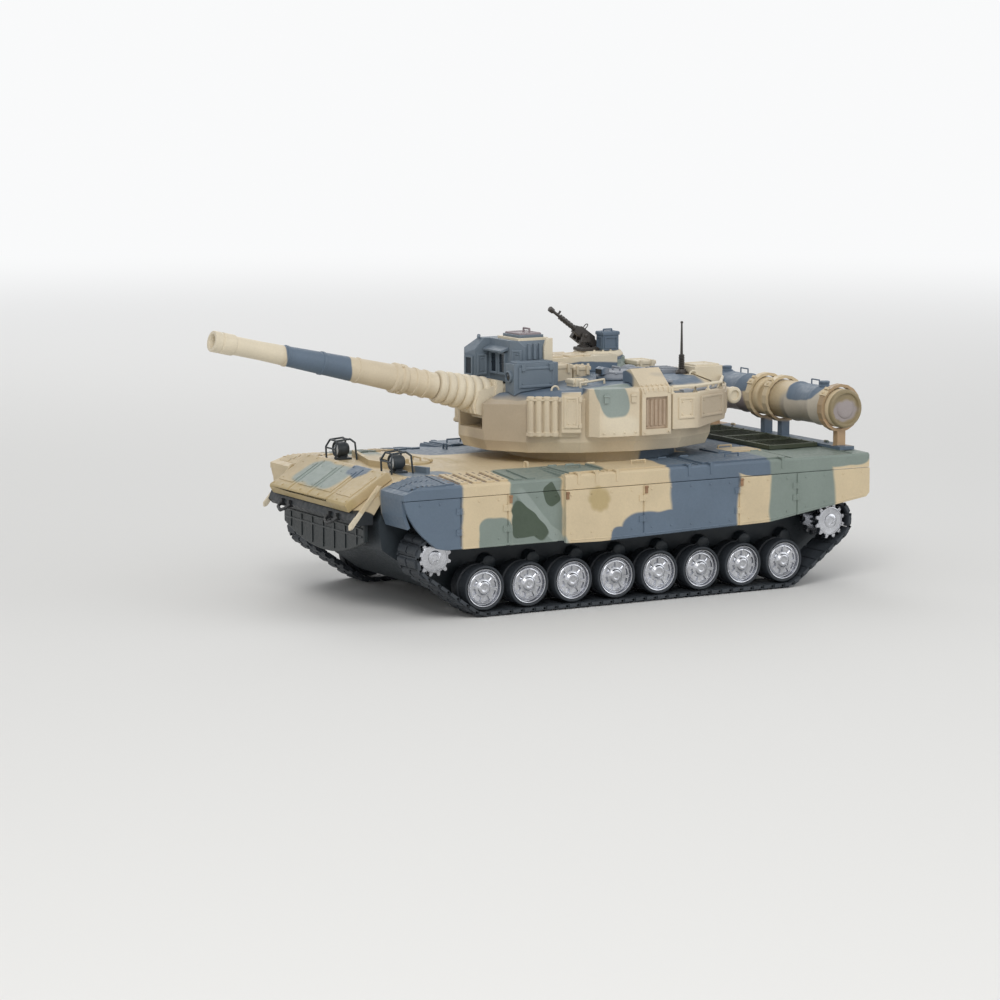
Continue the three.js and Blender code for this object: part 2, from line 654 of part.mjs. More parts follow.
const flapTopZ = noseZ - 6 - gap;
const flapHalf = tubHalfWidth - 2.5;
const flapShape = new THREE.Shape();
flapShape.moveTo(-flapHalf, flapTopZ);
flapShape.lineTo(-flapHalf, 37);
flapShape.quadraticCurveTo(0, 19, flapHalf, 37);
flapShape.lineTo(flapHalf, flapTopZ);
piece('bow_flap', slabX(flapShape, noseX - 9, noseX - 6.5, 12), rubber);

const lampY = 30;
const lampX = 124;
const lampRadius = 4;
const lampZ = deckZ + gap + lampRadius + 1;
const lamp = join(
  moved(turned([[0, 0], [lampRadius - 1, 0], [lampRadius, 2], [lampRadius, 7.5], [lampRadius - 0.7, 7.5],
    [lampRadius - 0.9, 6.6], [0, 7.2]], 'x', 16), lampX, lampY, lampZ),
  block(lampX + 1, lampX + 6, lampY - 2, lampY + 2, deckZ + gap, lampZ - 2),
);
bothSides('headlamp', lamp, lens);

// Engine deck grille

const grilleX0 = -110;
const grilleX1 = -80;
const grilleHalf = tubHalfWidth - 0.5;
const slotPitch = 4.6;
const slotWidth = 2.4;
let grille = block(grilleX0, grilleX1, -grilleHalf, grilleHalf, deckZ + gap, deckZ + 2.4);
const slotCount = Math.floor((grilleX1 - grilleX0 - 4) / slotPitch);
for (let i = 0; i < slotCount; i += 1) {
  const x = grilleX0 + 3 + slotPitch * i;
  const slot = block(x, x + slotWidth, 3, grilleHalf - 3, deckZ - 1, deckZ + 4);
  grille = grille.subtract(slot).subtract(mirrored(slot));
}
piece('engine_grille', grille, paintOlive);

// Rear drums in their cradle

const drumBodyRadius = drumRadius - 0.5;
const hoopWidth = 2.2;
function drumProfile() {
  const y0 = drumGap / 2;
  const y1 = y0 + drumLength;
  const profile = [[0, y0 + 1], [drumBodyRadius - 2, y0 + 1], [drumBodyRadius - 1.2, y0],
    [drumBodyRadius, y0 + 1]];
  for (const share of [0.33, 0.67]) {
    const y = y0 + drumLength * share;
    profile.push([drumBodyRadius, y - hoopWidth / 2], [drumRadius, y], [drumBodyRadius, y + hoopWidth / 2]);
  }
  profile.push([drumBodyRadius, y1 - 1], [drumBodyRadius - 1.2, y1], [drumBodyRadius - 2, y1 - 1], [0, y1 - 1]);
  return profile;
}
bothSides('fuel_drum', moved(turned(drumProfile(), 'y', 16), drumX, 0, drumZ), paintSand);

const strapInner = drumRadius + gap;
const strapOuter = strapInner + 1.6;
const strapWidth = 4;
const strapYs = [6, 57];
const cradleHalf = 64;
const cradleEdgeZ = fenderTopZ(cradleHalf, boxSideY, boxEdgeZ) + gap;
let cradle = slabX([[-cradleHalf, cradleEdgeZ], [-deckHalf, deckZ + gap], [deckHalf, deckZ + gap],
  [cradleHalf, cradleEdgeZ], [cradleHalf, deckZ + 1.8], [-cradleHalf, deckZ + 1.8]], -120.5, grilleX0 - 1.5);
for (const y of strapYs) {
  const strap = join(
    moved(tube(strapInner, strapOuter, y, y + strapWidth, 'y', 18), drumX, 0, drumZ),
    block(drumX - 3, drumX + 2, y, y + strapWidth, deckZ + 1, drumZ - strapInner - 0.8),
  );
  cradle = join(cradle, strap, mirrored(strap));
}
piece('drum_cradle', cradle, paintSlate);

// Turret shell: a loft through four outlines, hollow, with a spigot that turns in the deck

const turret = new THREE.Group();
tank.add(turret);

const turretPlan = [[70, 0], [70, 13], [57, 33], [34, 47], [6, 54], [-22, 53], [-46, 42], [-58, 24], [-60, 0]];
const shoulderZ = 97;
const shoulderRise = 6;
const roofEdge = 4;
const shoulderX = 6;

function planRing(scale, heightAt, plan = turretPlan) {
  const back = plan.slice(1, -1).reverse().map(([x, y]) => [x, -y]);
  return [...plan, ...back].map(([x, y]) => new THREE.Vector3(x * scale, y * scale, heightAt(x * scale)));
}

function lofted(rings, topZ) {
  const count = rings[0].length;
  const places = rings.flat().flatMap((p) => [p.x, p.y, p.z]);
  places.push(0, 0, rings[0][0].z, 0, 0, topZ);
  const corners = [];
  const low = rings.length * count;
  const last = (rings.length - 1) * count;
  for (let i = 0; i < count; i += 1) {
    const j = (i + 1) % count;
    for (let r = 0; r < rings.length - 1; r += 1) {
      const a = r * count + i;
      const b = r * count + j;
      corners.push(a, b, b + count, a, b + count, a + count);
    }
    corners.push(low, j, i, low + 1, last + i, last + j);
  }
  const geometry = new THREE.BufferGeometry();
  geometry.setAttribute('position', new THREE.Float32BufferAttribute(places, 3));
  geometry.setIndex(corners);
  return solid(geometry);
}

function shoulderAt(x) {
  const share = THREE.MathUtils.clamp((turretPlan[0][0] - x) / (turretPlan[0][0] - shoulderX), 0, 1);
  return shoulderZ + shoulderRise * share;
}

function turretLoft(scale, floorZ, drop) {
  return lofted([
    planRing(0.96 * scale, () => floorZ),
    planRing(scale, () => Math.max(turretRimZ, floorZ + 1)),
    planRing(scale, (x) => shoulderAt(x) - drop),
    planRing(0.86 * scale, (x) => shoulderAt(x) + roofEdge - drop),
  ], roofZ - drop);
}

const turretOuter = turretLoft(1, turretBaseZ, 0);
const slotFloorZ = 84;
const slotRearX = trunnionX - 9.7;
const slotHalf = cradleHalfWidth + 0.4;
const slotFrontX = turretPlan[0][0] + 5;
const gunSlot = block(slotRearX, slotFrontX, -slotHalf, slotHalf, slotFloorZ, 130);
const slotHousing = block(slotRearX - wall, slotFrontX, -slotHalf - wall, slotHalf + wall,
  slotFloorZ - wall, 130);
const turretHollow = turretLoft(0.94, turretBaseZ + wall, 2.4).subtract(slotHousing);
const spigotBottomZ = deckZ - wall - 2;
const spigot = rod(spigotRadius, spigotBottomZ, turretBaseZ + 0.5, 'z', 32);
const spigotBore = rod(spigotRadius - 3.5, spigotBottomZ - 1, turretBaseZ + wall + 0.5, 'z', 24);
const trunnionRadius = 3;
const trunnionEndY = cradleHalfWidth + 2.6;
const trunnionHole = moved(rod(trunnionRadius + gap, -trunnionEndY - gap, trunnionEndY + gap, 'y', 14),
  trunnionX, 0, trunnionZ);
const turretShell = join(turretOuter, spigot).subtract(turretHollow).subtract(spigotBore)
  .subtract(gunSlot).subtract(trunnionHole);
piece('turret_shell', turretShell, paintSand, turret);

const retainer = turned([[6, spigotBottomZ - gap - wall], [30, spigotBottomZ - gap - wall],
  [30, deckZ - wall - gap], [spigotRadius + 1, deckZ - wall - gap], [spigotRadius + 1, spigotBottomZ - gap],
  [6, spigotBottomZ - gap], [6, spigotBottomZ - gap - wall]], 'z', 20);
piece('turret_retainer', retainer, blackPlastic, turret);

// Cuts a piece to the turret's surface, which it clears by the fit gap all round
const clearScale = 1.006;
const turretClear = turretLoft(clearScale, turretBaseZ - 1, -gap);
function fittedOn(body) {
  return body.subtract(turretClear);
}

// Cheek banks: a ribbed row of launcher tubes and a plain block on one backing plate

const bankTopZ = 99;
const bankBottomZ = 82;
const bankTubes = 4;
const tubePitch = 4;
function cheekBank() {
  const [x0, y0] = turretPlan[2];
  const [x1, y1] = turretPlan[3];
  const angle = Math.atan2(y1 - y0, x1 - x0);
  let bank = block(0.5, 26, -1.6, -gap, bankBottomZ, bankTopZ);
  bank = bank.add(block(0.5, 15.5, -3.4, -1, bankBottomZ + 0.8, bankTopZ + 2));
  bank = bank.add(block(17.8, 27.5, -5, -1, bankBottomZ + 2.5, bankTopZ + 5.5));
  for (let i = 0; i < bankTubes; i += 1) {
    const tubeBody = rod(1.8, bankBottomZ + 1, bankTopZ + 2.4, 'z', 10);
    bank = bank.add(moved(tubeBody, 2.5 + tubePitch * i, -3.6, 0));
  }
  return moved(spun(bank, axisZ, angle), x0, y0, 0);
}
const leftBank = fittedOn(cheekBank());
bothSides('launcher_bank', leftBank, paintSand, turret);

// Side stowage: a large bin, then a framed box with a sunk panel under a sloping lid

const binBottomZ = 82;
const binTopZ = 106;
const binThickness = 5.5;
const framedX0 = -12;
const framedX1 = 5;
const lidPeakZ = 114.5;
const lidInnerY = 40;
const sideStowage = (() => {
  const y = turretPlan[4][1];
  const plan = [[31.5, 45], [31.5, 51.5], [28, y + 2], [7, y + binThickness],
    [framedX0, y + binThickness - 0.5], [framedX0, y - 3], [6, y - 3]];
  const bin = slabZ(plan, binBottomZ, binTopZ);
  const topBevel = slabX([[y + binThickness - 2.5, binTopZ + 1], [y + binThickness + 1, binTopZ + 1],
    [y + binThickness + 1, binTopZ - 3]], framedX0 - 1, 32);
  const splitGroove = block(framedX1 + 0.4, framedX1 + 2, y + binThickness - 2, y + 10, binBottomZ - 1,
    binTopZ + 1);
  const panel = block(framedX0 + 2, framedX1 - 2, y + binThickness - 2, y + 10, binBottomZ + 3, binTopZ - 5);
  const lid = slabX([[lidInnerY, binTopZ - 4], [y + binThickness - 1, binTopZ - 4],
    [y + binThickness - 1, binTopZ - 1], [lidInnerY + 7, lidPeakZ], [lidInnerY, lidPeakZ - 2]],
  framedX0, framedX1);
  const body = join(bin.subtract(topBevel).subtract(splitGroove).subtract(panel), lid);
  return fittedOn(body);
})();
bothSides('side_stowage', sideStowage, paintSand, turret);

// Rear basket round the back of the turret, with the wading tube in its clips

const basketTopZ = 102;
const basketBottomZ = 84;
const basketDepth = 8;
const basketFrontX = framedX0 - 1;
const tubeRadius = 3.8;
const wadingTubeZ = 95;
const basketRearX = turretPlan[8][0] - basketDepth;
const wadingTubeX = basketRearX - gap - tubeRadius;
const basket = (() => {
  const right = [[basketFrontX, 59], [-28, 59], [-50, 49.5], [-65, 28], [basketRearX, 22]];
  const left = right.map(([x, y]) => [x, -y]).reverse();
  const plan = [...right, ...left, [basketFrontX, -45], [-40, -30], [-40, 30], [basketFrontX, 45]];
  const body = slabZ(plan, basketBottomZ, basketTopZ);
  const underCut = slabY([[basketFrontX - 8, basketBottomZ - 1], [basketRearX - 2, basketBottomZ - 1],
    [basketRearX - 2, basketBottomZ + 5]], -70, 70);
  const clipTopZ = wadingTubeZ - tubeRadius - gap;
  const clips = [-14, 10].map((y) => (
    block(basketRearX - 6, basketRearX + 3, y, y + 3, clipTopZ - 1.8, clipTopZ)
  ));
  const roofBox = block(basketRearX + 4, -47, 10, 26, basketTopZ - 2, basketTopZ + 9);
  const clipped = join(body.subtract(underCut), roofBox, ...clips);
  return fittedOn(clipped);
})();
piece('rear_basket', basket, paintSand, turret);
const wadingTube = moved(turned([[0, -29], [tubeRadius - 0.8, -29], [tubeRadius, -28], [tubeRadius, 23],
  [tubeRadius - 0.8, 24], [tubeRadius - 1.6, 22.5], [0, 22.5]], 'y', 16), wadingTubeX, 0, wadingTubeZ);
piece('wading_tube', wadingTube, paintSand, turret);

// Roof: sight housing, gunner's hatch, commander's cupola with its machine gun, aerial

const sightTopZ = 127.5;
const sightRearX = 31;
const sightFrontX = 52;
const sightTipX = 62;
const sightBottomZ = 106.3;
const sightHousing = (() => {
  const plan = [[sightRearX, -27], [sightTipX - 3, -27], [sightTipX, -21], [sightTipX - 2, -14],
    [sightFrontX, -12.8], [sightFrontX, 8], [sightFrontX - 5, 14], [sightRearX, 14]];
  const front = [[-27, sightBottomZ], [14, sightBottomZ], [14, sightTopZ - 3], [11, sightTopZ], [-19, sightTopZ],
    [-27, sightTopZ - 7]];
  const side = [[sightRearX, sightBottomZ], [sightTipX, sightBottomZ], [sightTipX, sightTopZ - 8],
    [sightTipX - 7, sightTopZ], [sightRearX + 1, sightTopZ], [sightRearX, sightTopZ - 1]];
  const upper = slabX(front, sightRearX, sightTipX)
    .intersect(slabY(side, -28, 15))
    .intersect(slabZ(plan, sightBottomZ - 1, sightTopZ + 1));
  const foot = block(sightRearX, slotRearX - 0.8, -25, 13, 98, sightBottomZ + 1);
  const frontFoot = block(slotRearX - 2, sightTipX - 4, -25, -13.2, 92, sightBottomZ + 1);
  const sideBox = block(sightRearX + 1, 57.5, 13, 22, 94, 117);
  const cap = block(sightRearX + 2, sightFrontX - 5, -8, 9, sightTopZ - 0.5, sightTopZ + 2.5);
  return fittedOn(join(upper, foot, frontFoot, sideBox, cap));
})();
piece('sight_housing', sightHousing, paintSlate, turret);

const hatchX = -4;
const hatchY = 24;
const hatchLid = turned([[0, 98], [13, 98], [13, roofZ + 0.4], [11.6, roofZ + 2], [4, roofZ + 2.6],
  [0, roofZ + 2.6]], 'z', 20);
const gunnerHatch = fittedOn(moved(hatchLid, hatchX, hatchY, 0));
piece('gunner_hatch', gunnerHatch, paintSlate, turret);

const cupolaX = -20;
const cupolaY = -26;
const cupolaTopZ = 117;
const cupolaBaseX = 27;
const periscopeCount = 5;
const cupola = (() => {
  let body = turned([[0, 98], [15, 98], [15, roofZ + 1], [13.5, roofZ + 4], [13.5, cupolaTopZ - 2],
    [12, cupolaTopZ], [0, cupolaTopZ]], 'z', 16);
  for (let i = 0; i < periscopeCount; i += 1) {
    const periscope = block(11.5, 15, -2, 2, cupolaTopZ - 6, cupolaTopZ - 2.5);
    body = body.add(spun(periscope, axisZ, THREE.MathUtils.degToRad(30 * i - 60)));
  }
  const frontBase = slabY([[cupolaX, 100], [cupolaBaseX, 100], [cupolaBaseX, cupolaTopZ - 3],
    [cupolaBaseX - 2, cupolaTopZ - 1.5], [cupolaX, cupolaTopZ - 1]], cupolaY + 3, -6);
  return fittedOn(join(moved(body, cupolaX, cupolaY, 0), frontBase));
})();
piece('commander_cupola', cupola, paintSand, turret);

const machineGunAngle = 36;
const machineGun = (() => {
  const arms = join(
    block(-9, 7, -2, 2, -2.4, 2.4),
    rod(0.9, 6.5, 25, 'x', 10),
    rod(1.5, 22, 26, 'x', 10),
    block(-4, 3, -7.5, -1.5, -4, 4),
  );
  const raised = moved(spun(arms, axisY, -THREE.MathUtils.degToRad(machineGunAngle)), 0, 0, 7.8);
  const post = join(block(-3, 3, -1.8, 1.8, gap, 7), block(-12, 4, -4, 6, gap, 1.8));
  const ammoBox = block(-16, -6, 2.5, 10, gap, 10.5);
  return moved(join(raised, post, ammoBox), cupolaX + 9, cupolaY + 0.5, cupolaTopZ);
})();
piece('machine_gun', machineGun, blackPlastic, turret);

const aerialTopZ = 134;
const aerial = fittedOn(moved(turned([[0, 98], [2, 98], [2, roofZ + 3], [0.8, roofZ + 4], [0.6, aerialTopZ],
  [0, aerialTopZ]], 'z', 10), -44, 18, 0));
piece('aerial', aerial, blackPlastic, turret);

// Gun: mantlet with its bellows on the trunnions, and the barrel, raised as a pair

const gun = new THREE.Group();
gun.position.set(trunnionX, 0, trunnionZ);
gun.rotation.y = -THREE.MathUtils.degToRad(gunRestAngle);
turret.add(gun);

const mantletRadius = 8.6;
const bellowsStart = 13;
const bellowsEnd = 42;
const ringPitch = 5.4;
const barrelSocket = 12;
const barrelRootRadius = 6.6;
function bellowsProfile() {
  const profile = [[0, 4], [7.4, 4], [7.4, bellowsStart]];
  for (let x = bellowsStart; x + ringPitch <= bellowsEnd - 1.5; x += ringPitch) {
    const crest = 9.7 - (1.3 * (x - bellowsStart)) / (bellowsEnd - bellowsStart);
    profile.push([crest, x + ringPitch * 0.22], [crest, x + ringPitch * 0.66]);
    profile.push([crest - 1.4, x + ringPitch * 0.88]);
  }
  profile.push([7, bellowsEnd], [0, bellowsEnd]);
  return profile;
}
const mantlet = join(
  rod(mantletRadius, -cradleHalfWidth, cradleHalfWidth, 'y', 16),
  rod(trunnionRadius, -trunnionEndY, trunnionEndY, 'y', 10),
  turned(bellowsProfile(), 'x', 14),
).subtract(rod(4, bellowsEnd - barrelSocket, bellowsEnd + 1, 'x', 12));
piece('mantlet', mantlet, paintSand, gun);

const barrelStart = bellowsEnd + gap;
const bandStart = 60;
const muzzleBore = 2.8;
const barrel = turned([
  [0, bellowsEnd - barrelSocket + 1],
  [4 - gap, bellowsEnd - barrelSocket + 1],
  [4 - gap, barrelStart],
  [barrelRootRadius, barrelStart],
  [barrelRootRadius, bandStart],
  [barrelRootRadius + 1, bandStart + 1],
  [barrelRootRadius + 1, bandStart + 6],
  [barrelRootRadius + 0.2, bandStart + 7],
  [4.6, gunReach - 27],
  [4.6, gunReach - 12],
  [5.2, gunReach - 11],
  [5.2, gunReach],
  [muzzleBore + 0.8, gunReach],
  [muzzleBore, gunReach - 2],
  [muzzleBore, gunReach - 14],
  [0, gunReach - 14],
], 'x', 14);
piece('gun_barrel', barrel, paintSand, gun);

// The finished tank stands on its tracks, centred on its own bounding box

tank.updateMatrixWorld(true);
const bounds = new THREE.Box3().setFromObject(tank, true);
const centre = bounds.getCenter(new THREE.Vector3());
tank.position.set(-centre.x, -centre.y, -bounds.min.z);
const assembly = new THREE.Group();
assembly.add(tank);

export default assembly;
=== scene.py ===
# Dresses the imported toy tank: camouflage paint, plated wheels, link tracks and the fittings of hull and turret.
import json
import math
import bmesh
import bpy
from mathutils import Matrix, Vector
from mathutils.bvhtree import BVHTree


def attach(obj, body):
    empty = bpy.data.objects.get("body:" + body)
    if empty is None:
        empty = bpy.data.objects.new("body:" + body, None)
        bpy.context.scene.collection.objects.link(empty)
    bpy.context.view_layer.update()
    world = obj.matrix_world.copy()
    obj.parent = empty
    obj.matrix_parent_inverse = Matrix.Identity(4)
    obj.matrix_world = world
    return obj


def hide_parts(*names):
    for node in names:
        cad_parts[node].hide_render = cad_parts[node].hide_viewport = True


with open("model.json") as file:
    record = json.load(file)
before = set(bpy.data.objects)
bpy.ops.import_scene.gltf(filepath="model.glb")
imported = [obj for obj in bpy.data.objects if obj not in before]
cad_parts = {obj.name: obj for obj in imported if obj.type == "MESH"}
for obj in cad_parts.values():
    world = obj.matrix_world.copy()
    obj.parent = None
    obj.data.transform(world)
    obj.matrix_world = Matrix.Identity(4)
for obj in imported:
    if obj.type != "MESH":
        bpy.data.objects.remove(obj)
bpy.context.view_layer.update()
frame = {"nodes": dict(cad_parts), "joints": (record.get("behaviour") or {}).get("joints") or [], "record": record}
nodes = frame["nodes"]
mm = 0.001
turretX = next(joint for joint in frame["joints"] if joint["name"] == "turret_yaw")["pos_m"][0]
toFrame = Matrix.Translation((turretX, 0, 0)) @ Matrix.Scale(mm, 4)  # millimetres about the turret axis to the frame


# Shader nodes

# A socket among the inputs is linked, anything else is the input's value
def setInputs(node, inputs):
    for key, value in inputs.items():
        if isinstance(value, bpy.types.NodeSocket):
            node.id_data.links.new(value, node.inputs[key])
        else:
            node.inputs[key].default_value = value


# Returns the new node's outputs
def addNode(tree, kind, inputs=None, **settings):
    node = tree.nodes.new("ShaderNode" + kind)
    for key, value in settings.items():
        setattr(node, key, value)
    setInputs(node, inputs or {})
    return node.outputs


def addMath(tree, operation, *values):
    return addNode(tree, "Math", dict(enumerate(values)), operation=operation)[0]


def addVector(tree, operation, *values):
    return addNode(tree, "VectorMath", dict(enumerate(values)), operation=operation)


def addRange(tree, value, low, high, fromLow=0.3, fromHigh=0.7, curve="LINEAR"):
    return addNode(tree, "MapRange", {"Value": value, "From Min": fromLow, "From Max": fromHigh, "To Min": low,
                                      "To Max": high}, interpolation_type=curve)[0]


def startMaterial(name, rough, metal=0.0):
    material = bpy.data.materials.new(name)
    material.use_nodes = True
    shader = material.node_tree.nodes["Principled BSDF"]
    setInputs(shader, {"Roughness": rough, "Metallic": metal})
    return material, material.node_tree, shader


# Camera, floor and lights

cameraSetup = {"place": (905.3, 1506.2, 287.6), "look": (-0.4877, -0.8620, -0.1384), "lens": 123.852, "sensor": 36,
               "clip": (0.02, 40)}
studio = {
    "floorSize": 9.0,
    "floorColour": (0.80, 0.80, 0.79, 1),
    "floorRough": 0.85,
    "fade": (0.5, 2.6),
    "skyColour": (0.95, 0.955, 0.96, 1),
    "skyStrength": 0.5,
}
# Place, height aimed at, size, power and colour
lamps = {
    "keyLamp": ((0.75, 1.15, 1.25), 0.05, 0.9, 11.5, (1, 0.985, 0.96)),
    "fillLamp": ((-1.2, 0.9, 0.7), 0.06, 1.2, 4.2, (0.95, 0.975, 1)),
    "rimLamp": ((-0.4, -1.3, 1.1), 0.06, 1.0, 5.0, (1, 1, 1)),
}


# An object looking along a direction
def aim(name, data, place, look):
    obj = bpy.data.objects.new(name, data)
    obj.location = place
    obj.rotation_euler = look.to_track_quat("-Z", "Y").to_euler()
    bpy.context.collection.objects.link(obj)
    return obj


def addCamera(setup):
    data = bpy.data.cameras.new("tankCamera")
    data.lens = setup["lens"]
    data.sensor_width = setup["sensor"]
    data.clip_start, data.clip_end = setup["clip"]
    bpy.context.scene.camera = aim("tankCamera", data, toFrame @ Vector(setup["place"]), Vector(setup["look"]))


def addLamp(name, place, aimZ, size, power, colour):
    data = bpy.data.lights.new(name, "AREA")
    data.shape = "DISK"
    data.size = size
    data.energy = power
    data.color = colour
    aim(name, data, place, Vector((0, 0, aimZ)) - Vector(place))


def addSky(look):
    world = bpy.data.worlds.new("studioSky")
    bpy.context.scene.world = world
    world.use_nodes = True
    tree = world.node_tree
    light = tree.nodes["Background"]
    setInputs(light, {"Color": (1, 1, 1, 1), "Strength": look["skyStrength"]})
    seen = addNode(tree, "Background", {"Color": look["skyColour"], "Strength": 1})[0]
    rays = addNode(tree, "LightPath")
    direct = addMath(tree, "MAXIMUM", rays["Is Camera Ray"], rays["Is Glossy Ray"])
    either = addMath(tree, "MAXIMUM", direct, rays["Is Transmission Ray"])
    mix = addNode(tree, "MixShader", {0: either, 1: light.outputs[0], 2: seen})[0]
    setInputs(tree.nodes["World Output"], {"Surface": mix})


# The floor fades into the sky, for the camera alone
def addFloor(look):
    bpy.ops.mesh.primitive_grid_add(x_subdivisions=8, y_subdivisions=8, size=2 * look["floorSize"])
    floor = bpy.context.object
    floor.name = "studioFloor"
    material, tree, shader = startMaterial("studioFloor", look["floorRough"])
    setInputs(shader, {"Base Color": look["floorColour"]})
    reach = addVector(tree, "LENGTH", addNode(tree, "TexCoord")["Object"])["Value"]
    fade = addRange(tree, reach, 0, 1, *look["fade"], "SMOOTHSTEP")
    seenOnly = addMath(tree, "MULTIPLY", fade, addNode(tree, "LightPath")["Is Camera Ray"])
    glow = addNode(tree, "Emission", {"Color": look["skyColour"], "Strength": 1})[0]
    mix = addNode(tree, "MixShader", {0: seenOnly, 1: shader.outputs[0], 2: glow})[0]
    setInputs(tree.nodes["Material Output"], {"Surface": mix})
    floor.data.materials.append(material)


bpy.context.scene.view_settings.view_transform = "Standard"
addCamera(cameraSetup)
addSky(studio)
addFloor(studio)
for lampName, setup in lamps.items():
    addLamp(lampName, *setup)
print("camera, floor and lights in place")


# Paint and plastic

paintShades = {
    "sand": (0.64, 0.525, 0.345), "turretSand": (0.66, 0.565, 0.415), "paleSand": (0.73, 0.65, 0.50),
    # the first sand on the next line is darker, for painted shade on the turret cheek and the basket's side
    "paintedShadeSand": (0.47, 0.39, 0.285), "bowSand": (0.53, 0.425, 0.255), "mistSand": (0.50, 0.455, 0.38),
    "dullTan": (0.47, 0.365, 0.185), "drumTan": (0.27, 0.215, 0.12), "strapTan": (0.50, 0.34, 0.20),
    "strapBrown": (0.40, 0.29, 0.175), "umberGrey": (0.29, 0.25, 0.26), "mauve": (0.33, 0.29, 0.285),
    "slate": (0.112, 0.156, 0.212), "duskSlate": (0.145, 0.185, 0.228), "mistSlate": (0.26, 0.285, 0.325),
    "greyGreen": (0.215, 0.262, 0.235), "mistGreen": (0.285, 0.335, 0.31), "olive": (0.060, 0.086, 0.058),
    # near-black, a painted shadow for the lower nose
    "paintedShadow": (0.014, 0.018, 0.022),
}


# A point on the piece in millimetres about the turret axis
def modelPoint(tree):
    return addVector(tree, "MULTIPLY_ADD", addNode(tree, "TexCoord")["Object"], (1 / mm, 1 / mm, 1 / mm),
                     (-turretX / mm, 0, 0))[0]


def addNoise(tree, point, size, detail=2.0, rough=0.5):
    return addNode(tree, "TexNoise", {"Vector": point, "Scale": 1 / size, "Detail": detail, "Roughness": rough})


# Grain in colour, gloss and surface: tints and gloss are (value, low, high), bumps are (height, depth in mm)
def addGrain(tree, shader, colour, tints, gloss, bumps):
    for value, low, high in tints:
        colour = addNode(tree, "Mix", {"Factor": 1.0, "A": colour, "B": addRange(tree, value, low, high)},
                         data_type="RGBA", blend_type="MULTIPLY")["Result"]
    normal = {}
    for height, depth in bumps:
        bump = addNode(tree, "Bump", {"Strength": 1.0, "Distance": depth * mm, "Height": height, **normal})
        normal = {"Normal": bump["Normal"]}
    setInputs(shader, {"Base Color": colour, "Roughness": addRange(tree, *gloss), **normal})


# Sizes of the noise in millimetres, and how far it bends the edges of patches
broadGrain = 14
paintGrain = {"wobble": 26, "reach": 9, "broad": 18, "fine": 0.9, "peel": 2.2}


# Moulded plastic, rubber or metal
def mouldedFinish(name, colour, rough, metal=0.0, grain=1.2, depth=0.03, tint=0.12, spread=0.12):
    material, tree, shader = startMaterial(name, rough, metal)
    point = modelPoint(tree)
    broad = addNoise(tree, point, broadGrain, 3)["Fac"]
    fine = addNoise(tree, point, grain, 3, 0.6)["Fac"]
    addGrain(tree, shader, (*colour, 1), [(broad, 1 - tint, 1 + tint), (fine, 1 - tint / 2, 1 + tint / 2)],
             (fine, max(0.03, rough - spread), min(1, rough + spread)), [(broad, depth * 3), (fine, depth)])
    return material


# One sprayed patch: a soft-edged rounded block, tilted about the Y axis
def patchGroup():
    group = bpy.data.node_groups.new("sprayPatch", "ShaderNodeTree")
    for name, kind in (("Point", "Vector"), ("Centre", "Vector"), ("Size", "Vector"), ("Tilt", "Float"),
                       ("Inner", "Float"), ("Outer", "Float")):
        group.interface.new_socket(name, in_out="INPUT", socket_type="NodeSocket" + kind)
    group.interface.new_socket("Amount", in_out="OUTPUT", socket_type="NodeSocketFloat")
    given = group.nodes.new("NodeGroupInput").outputs
    offset = addVector(group, "SUBTRACT", given["Point"], given["Centre"])[0]
    turn = addNode(group, "VectorRotate", {"Vector": offset, "Angle": given["Tilt"]}, rotation_type="Y_AXIS")[0]
    share = addVector(group, "DIVIDE", turn, given["Size"])[0]
    square = addVector(group, "MULTIPLY", share, share)[0]
    reach = addVector(group, "LENGTH", square)["Value"]
    edge = addRange(group, reach, 1, 0, given["Inner"], given["Outer"], "SMOOTHSTEP")
    setInputs(group.nodes.new("NodeGroupOutput"), {"Amount": edge})
    return group


sprayPatch = patchGroup()


def addPatch(tree, point, x, y, z, halfX, halfY, halfZ, tilt=0, blur=0.1):
    return addNode(tree, "Group", {
        "Point": point, "Centre": (x, y, z), "Size": (halfX, halfY, halfZ), "Tilt": math.radians(tilt),
        "Inner": 1 - blur, "Outer": 1 + blur}, node_tree=sprayPatch)[0]


# Satin paint: each coat is a shade and its patches (centre, half sizes, then tilt in degrees and blur)
def camouflage(name, base, coats, rough=0.5):
    material, tree, shader = startMaterial(name, rough)
    point = modelPoint(tree)
    wobble = addVector(tree, "SUBTRACT", addNoise(tree, point, paintGrain["wobble"])["Color"], (0.5, 0.5, 0.5))[0]
    bent = addVector(tree, "MULTIPLY_ADD", wobble, [paintGrain["reach"]] * 3, point)[0]
    colour = (*paintShades[base], 1)
    for shade, patches in coats:
        amount = addPatch(tree, bent, *patches[0])
        for patch in patches[1:]:
            amount = addMath(tree, "MAXIMUM", amount, addPatch(tree, bent, *patch))
        colour = addNode(tree, "Mix", {"Factor": amount, "A": colour, "B": (*paintShades[shade], 1)},
                         data_type="RGBA")["Result"]
    broad = addNoise(tree, point, paintGrain["broad"], 3)["Fac"]
    fine = addNoise(tree, point, paintGrain["fine"], 3, 0.6)["Fac"]
    peel = addNoise(tree, point, paintGrain["peel"], 1)["Fac"]
    addGrain(tree, shader, colour, [(broad, 0.93, 1.05), (fine, 0.96, 1.03)], (peel, rough - 0.1, rough + 0.12),
             [(peel, 0.035), (fine, 0.02)])
    return material


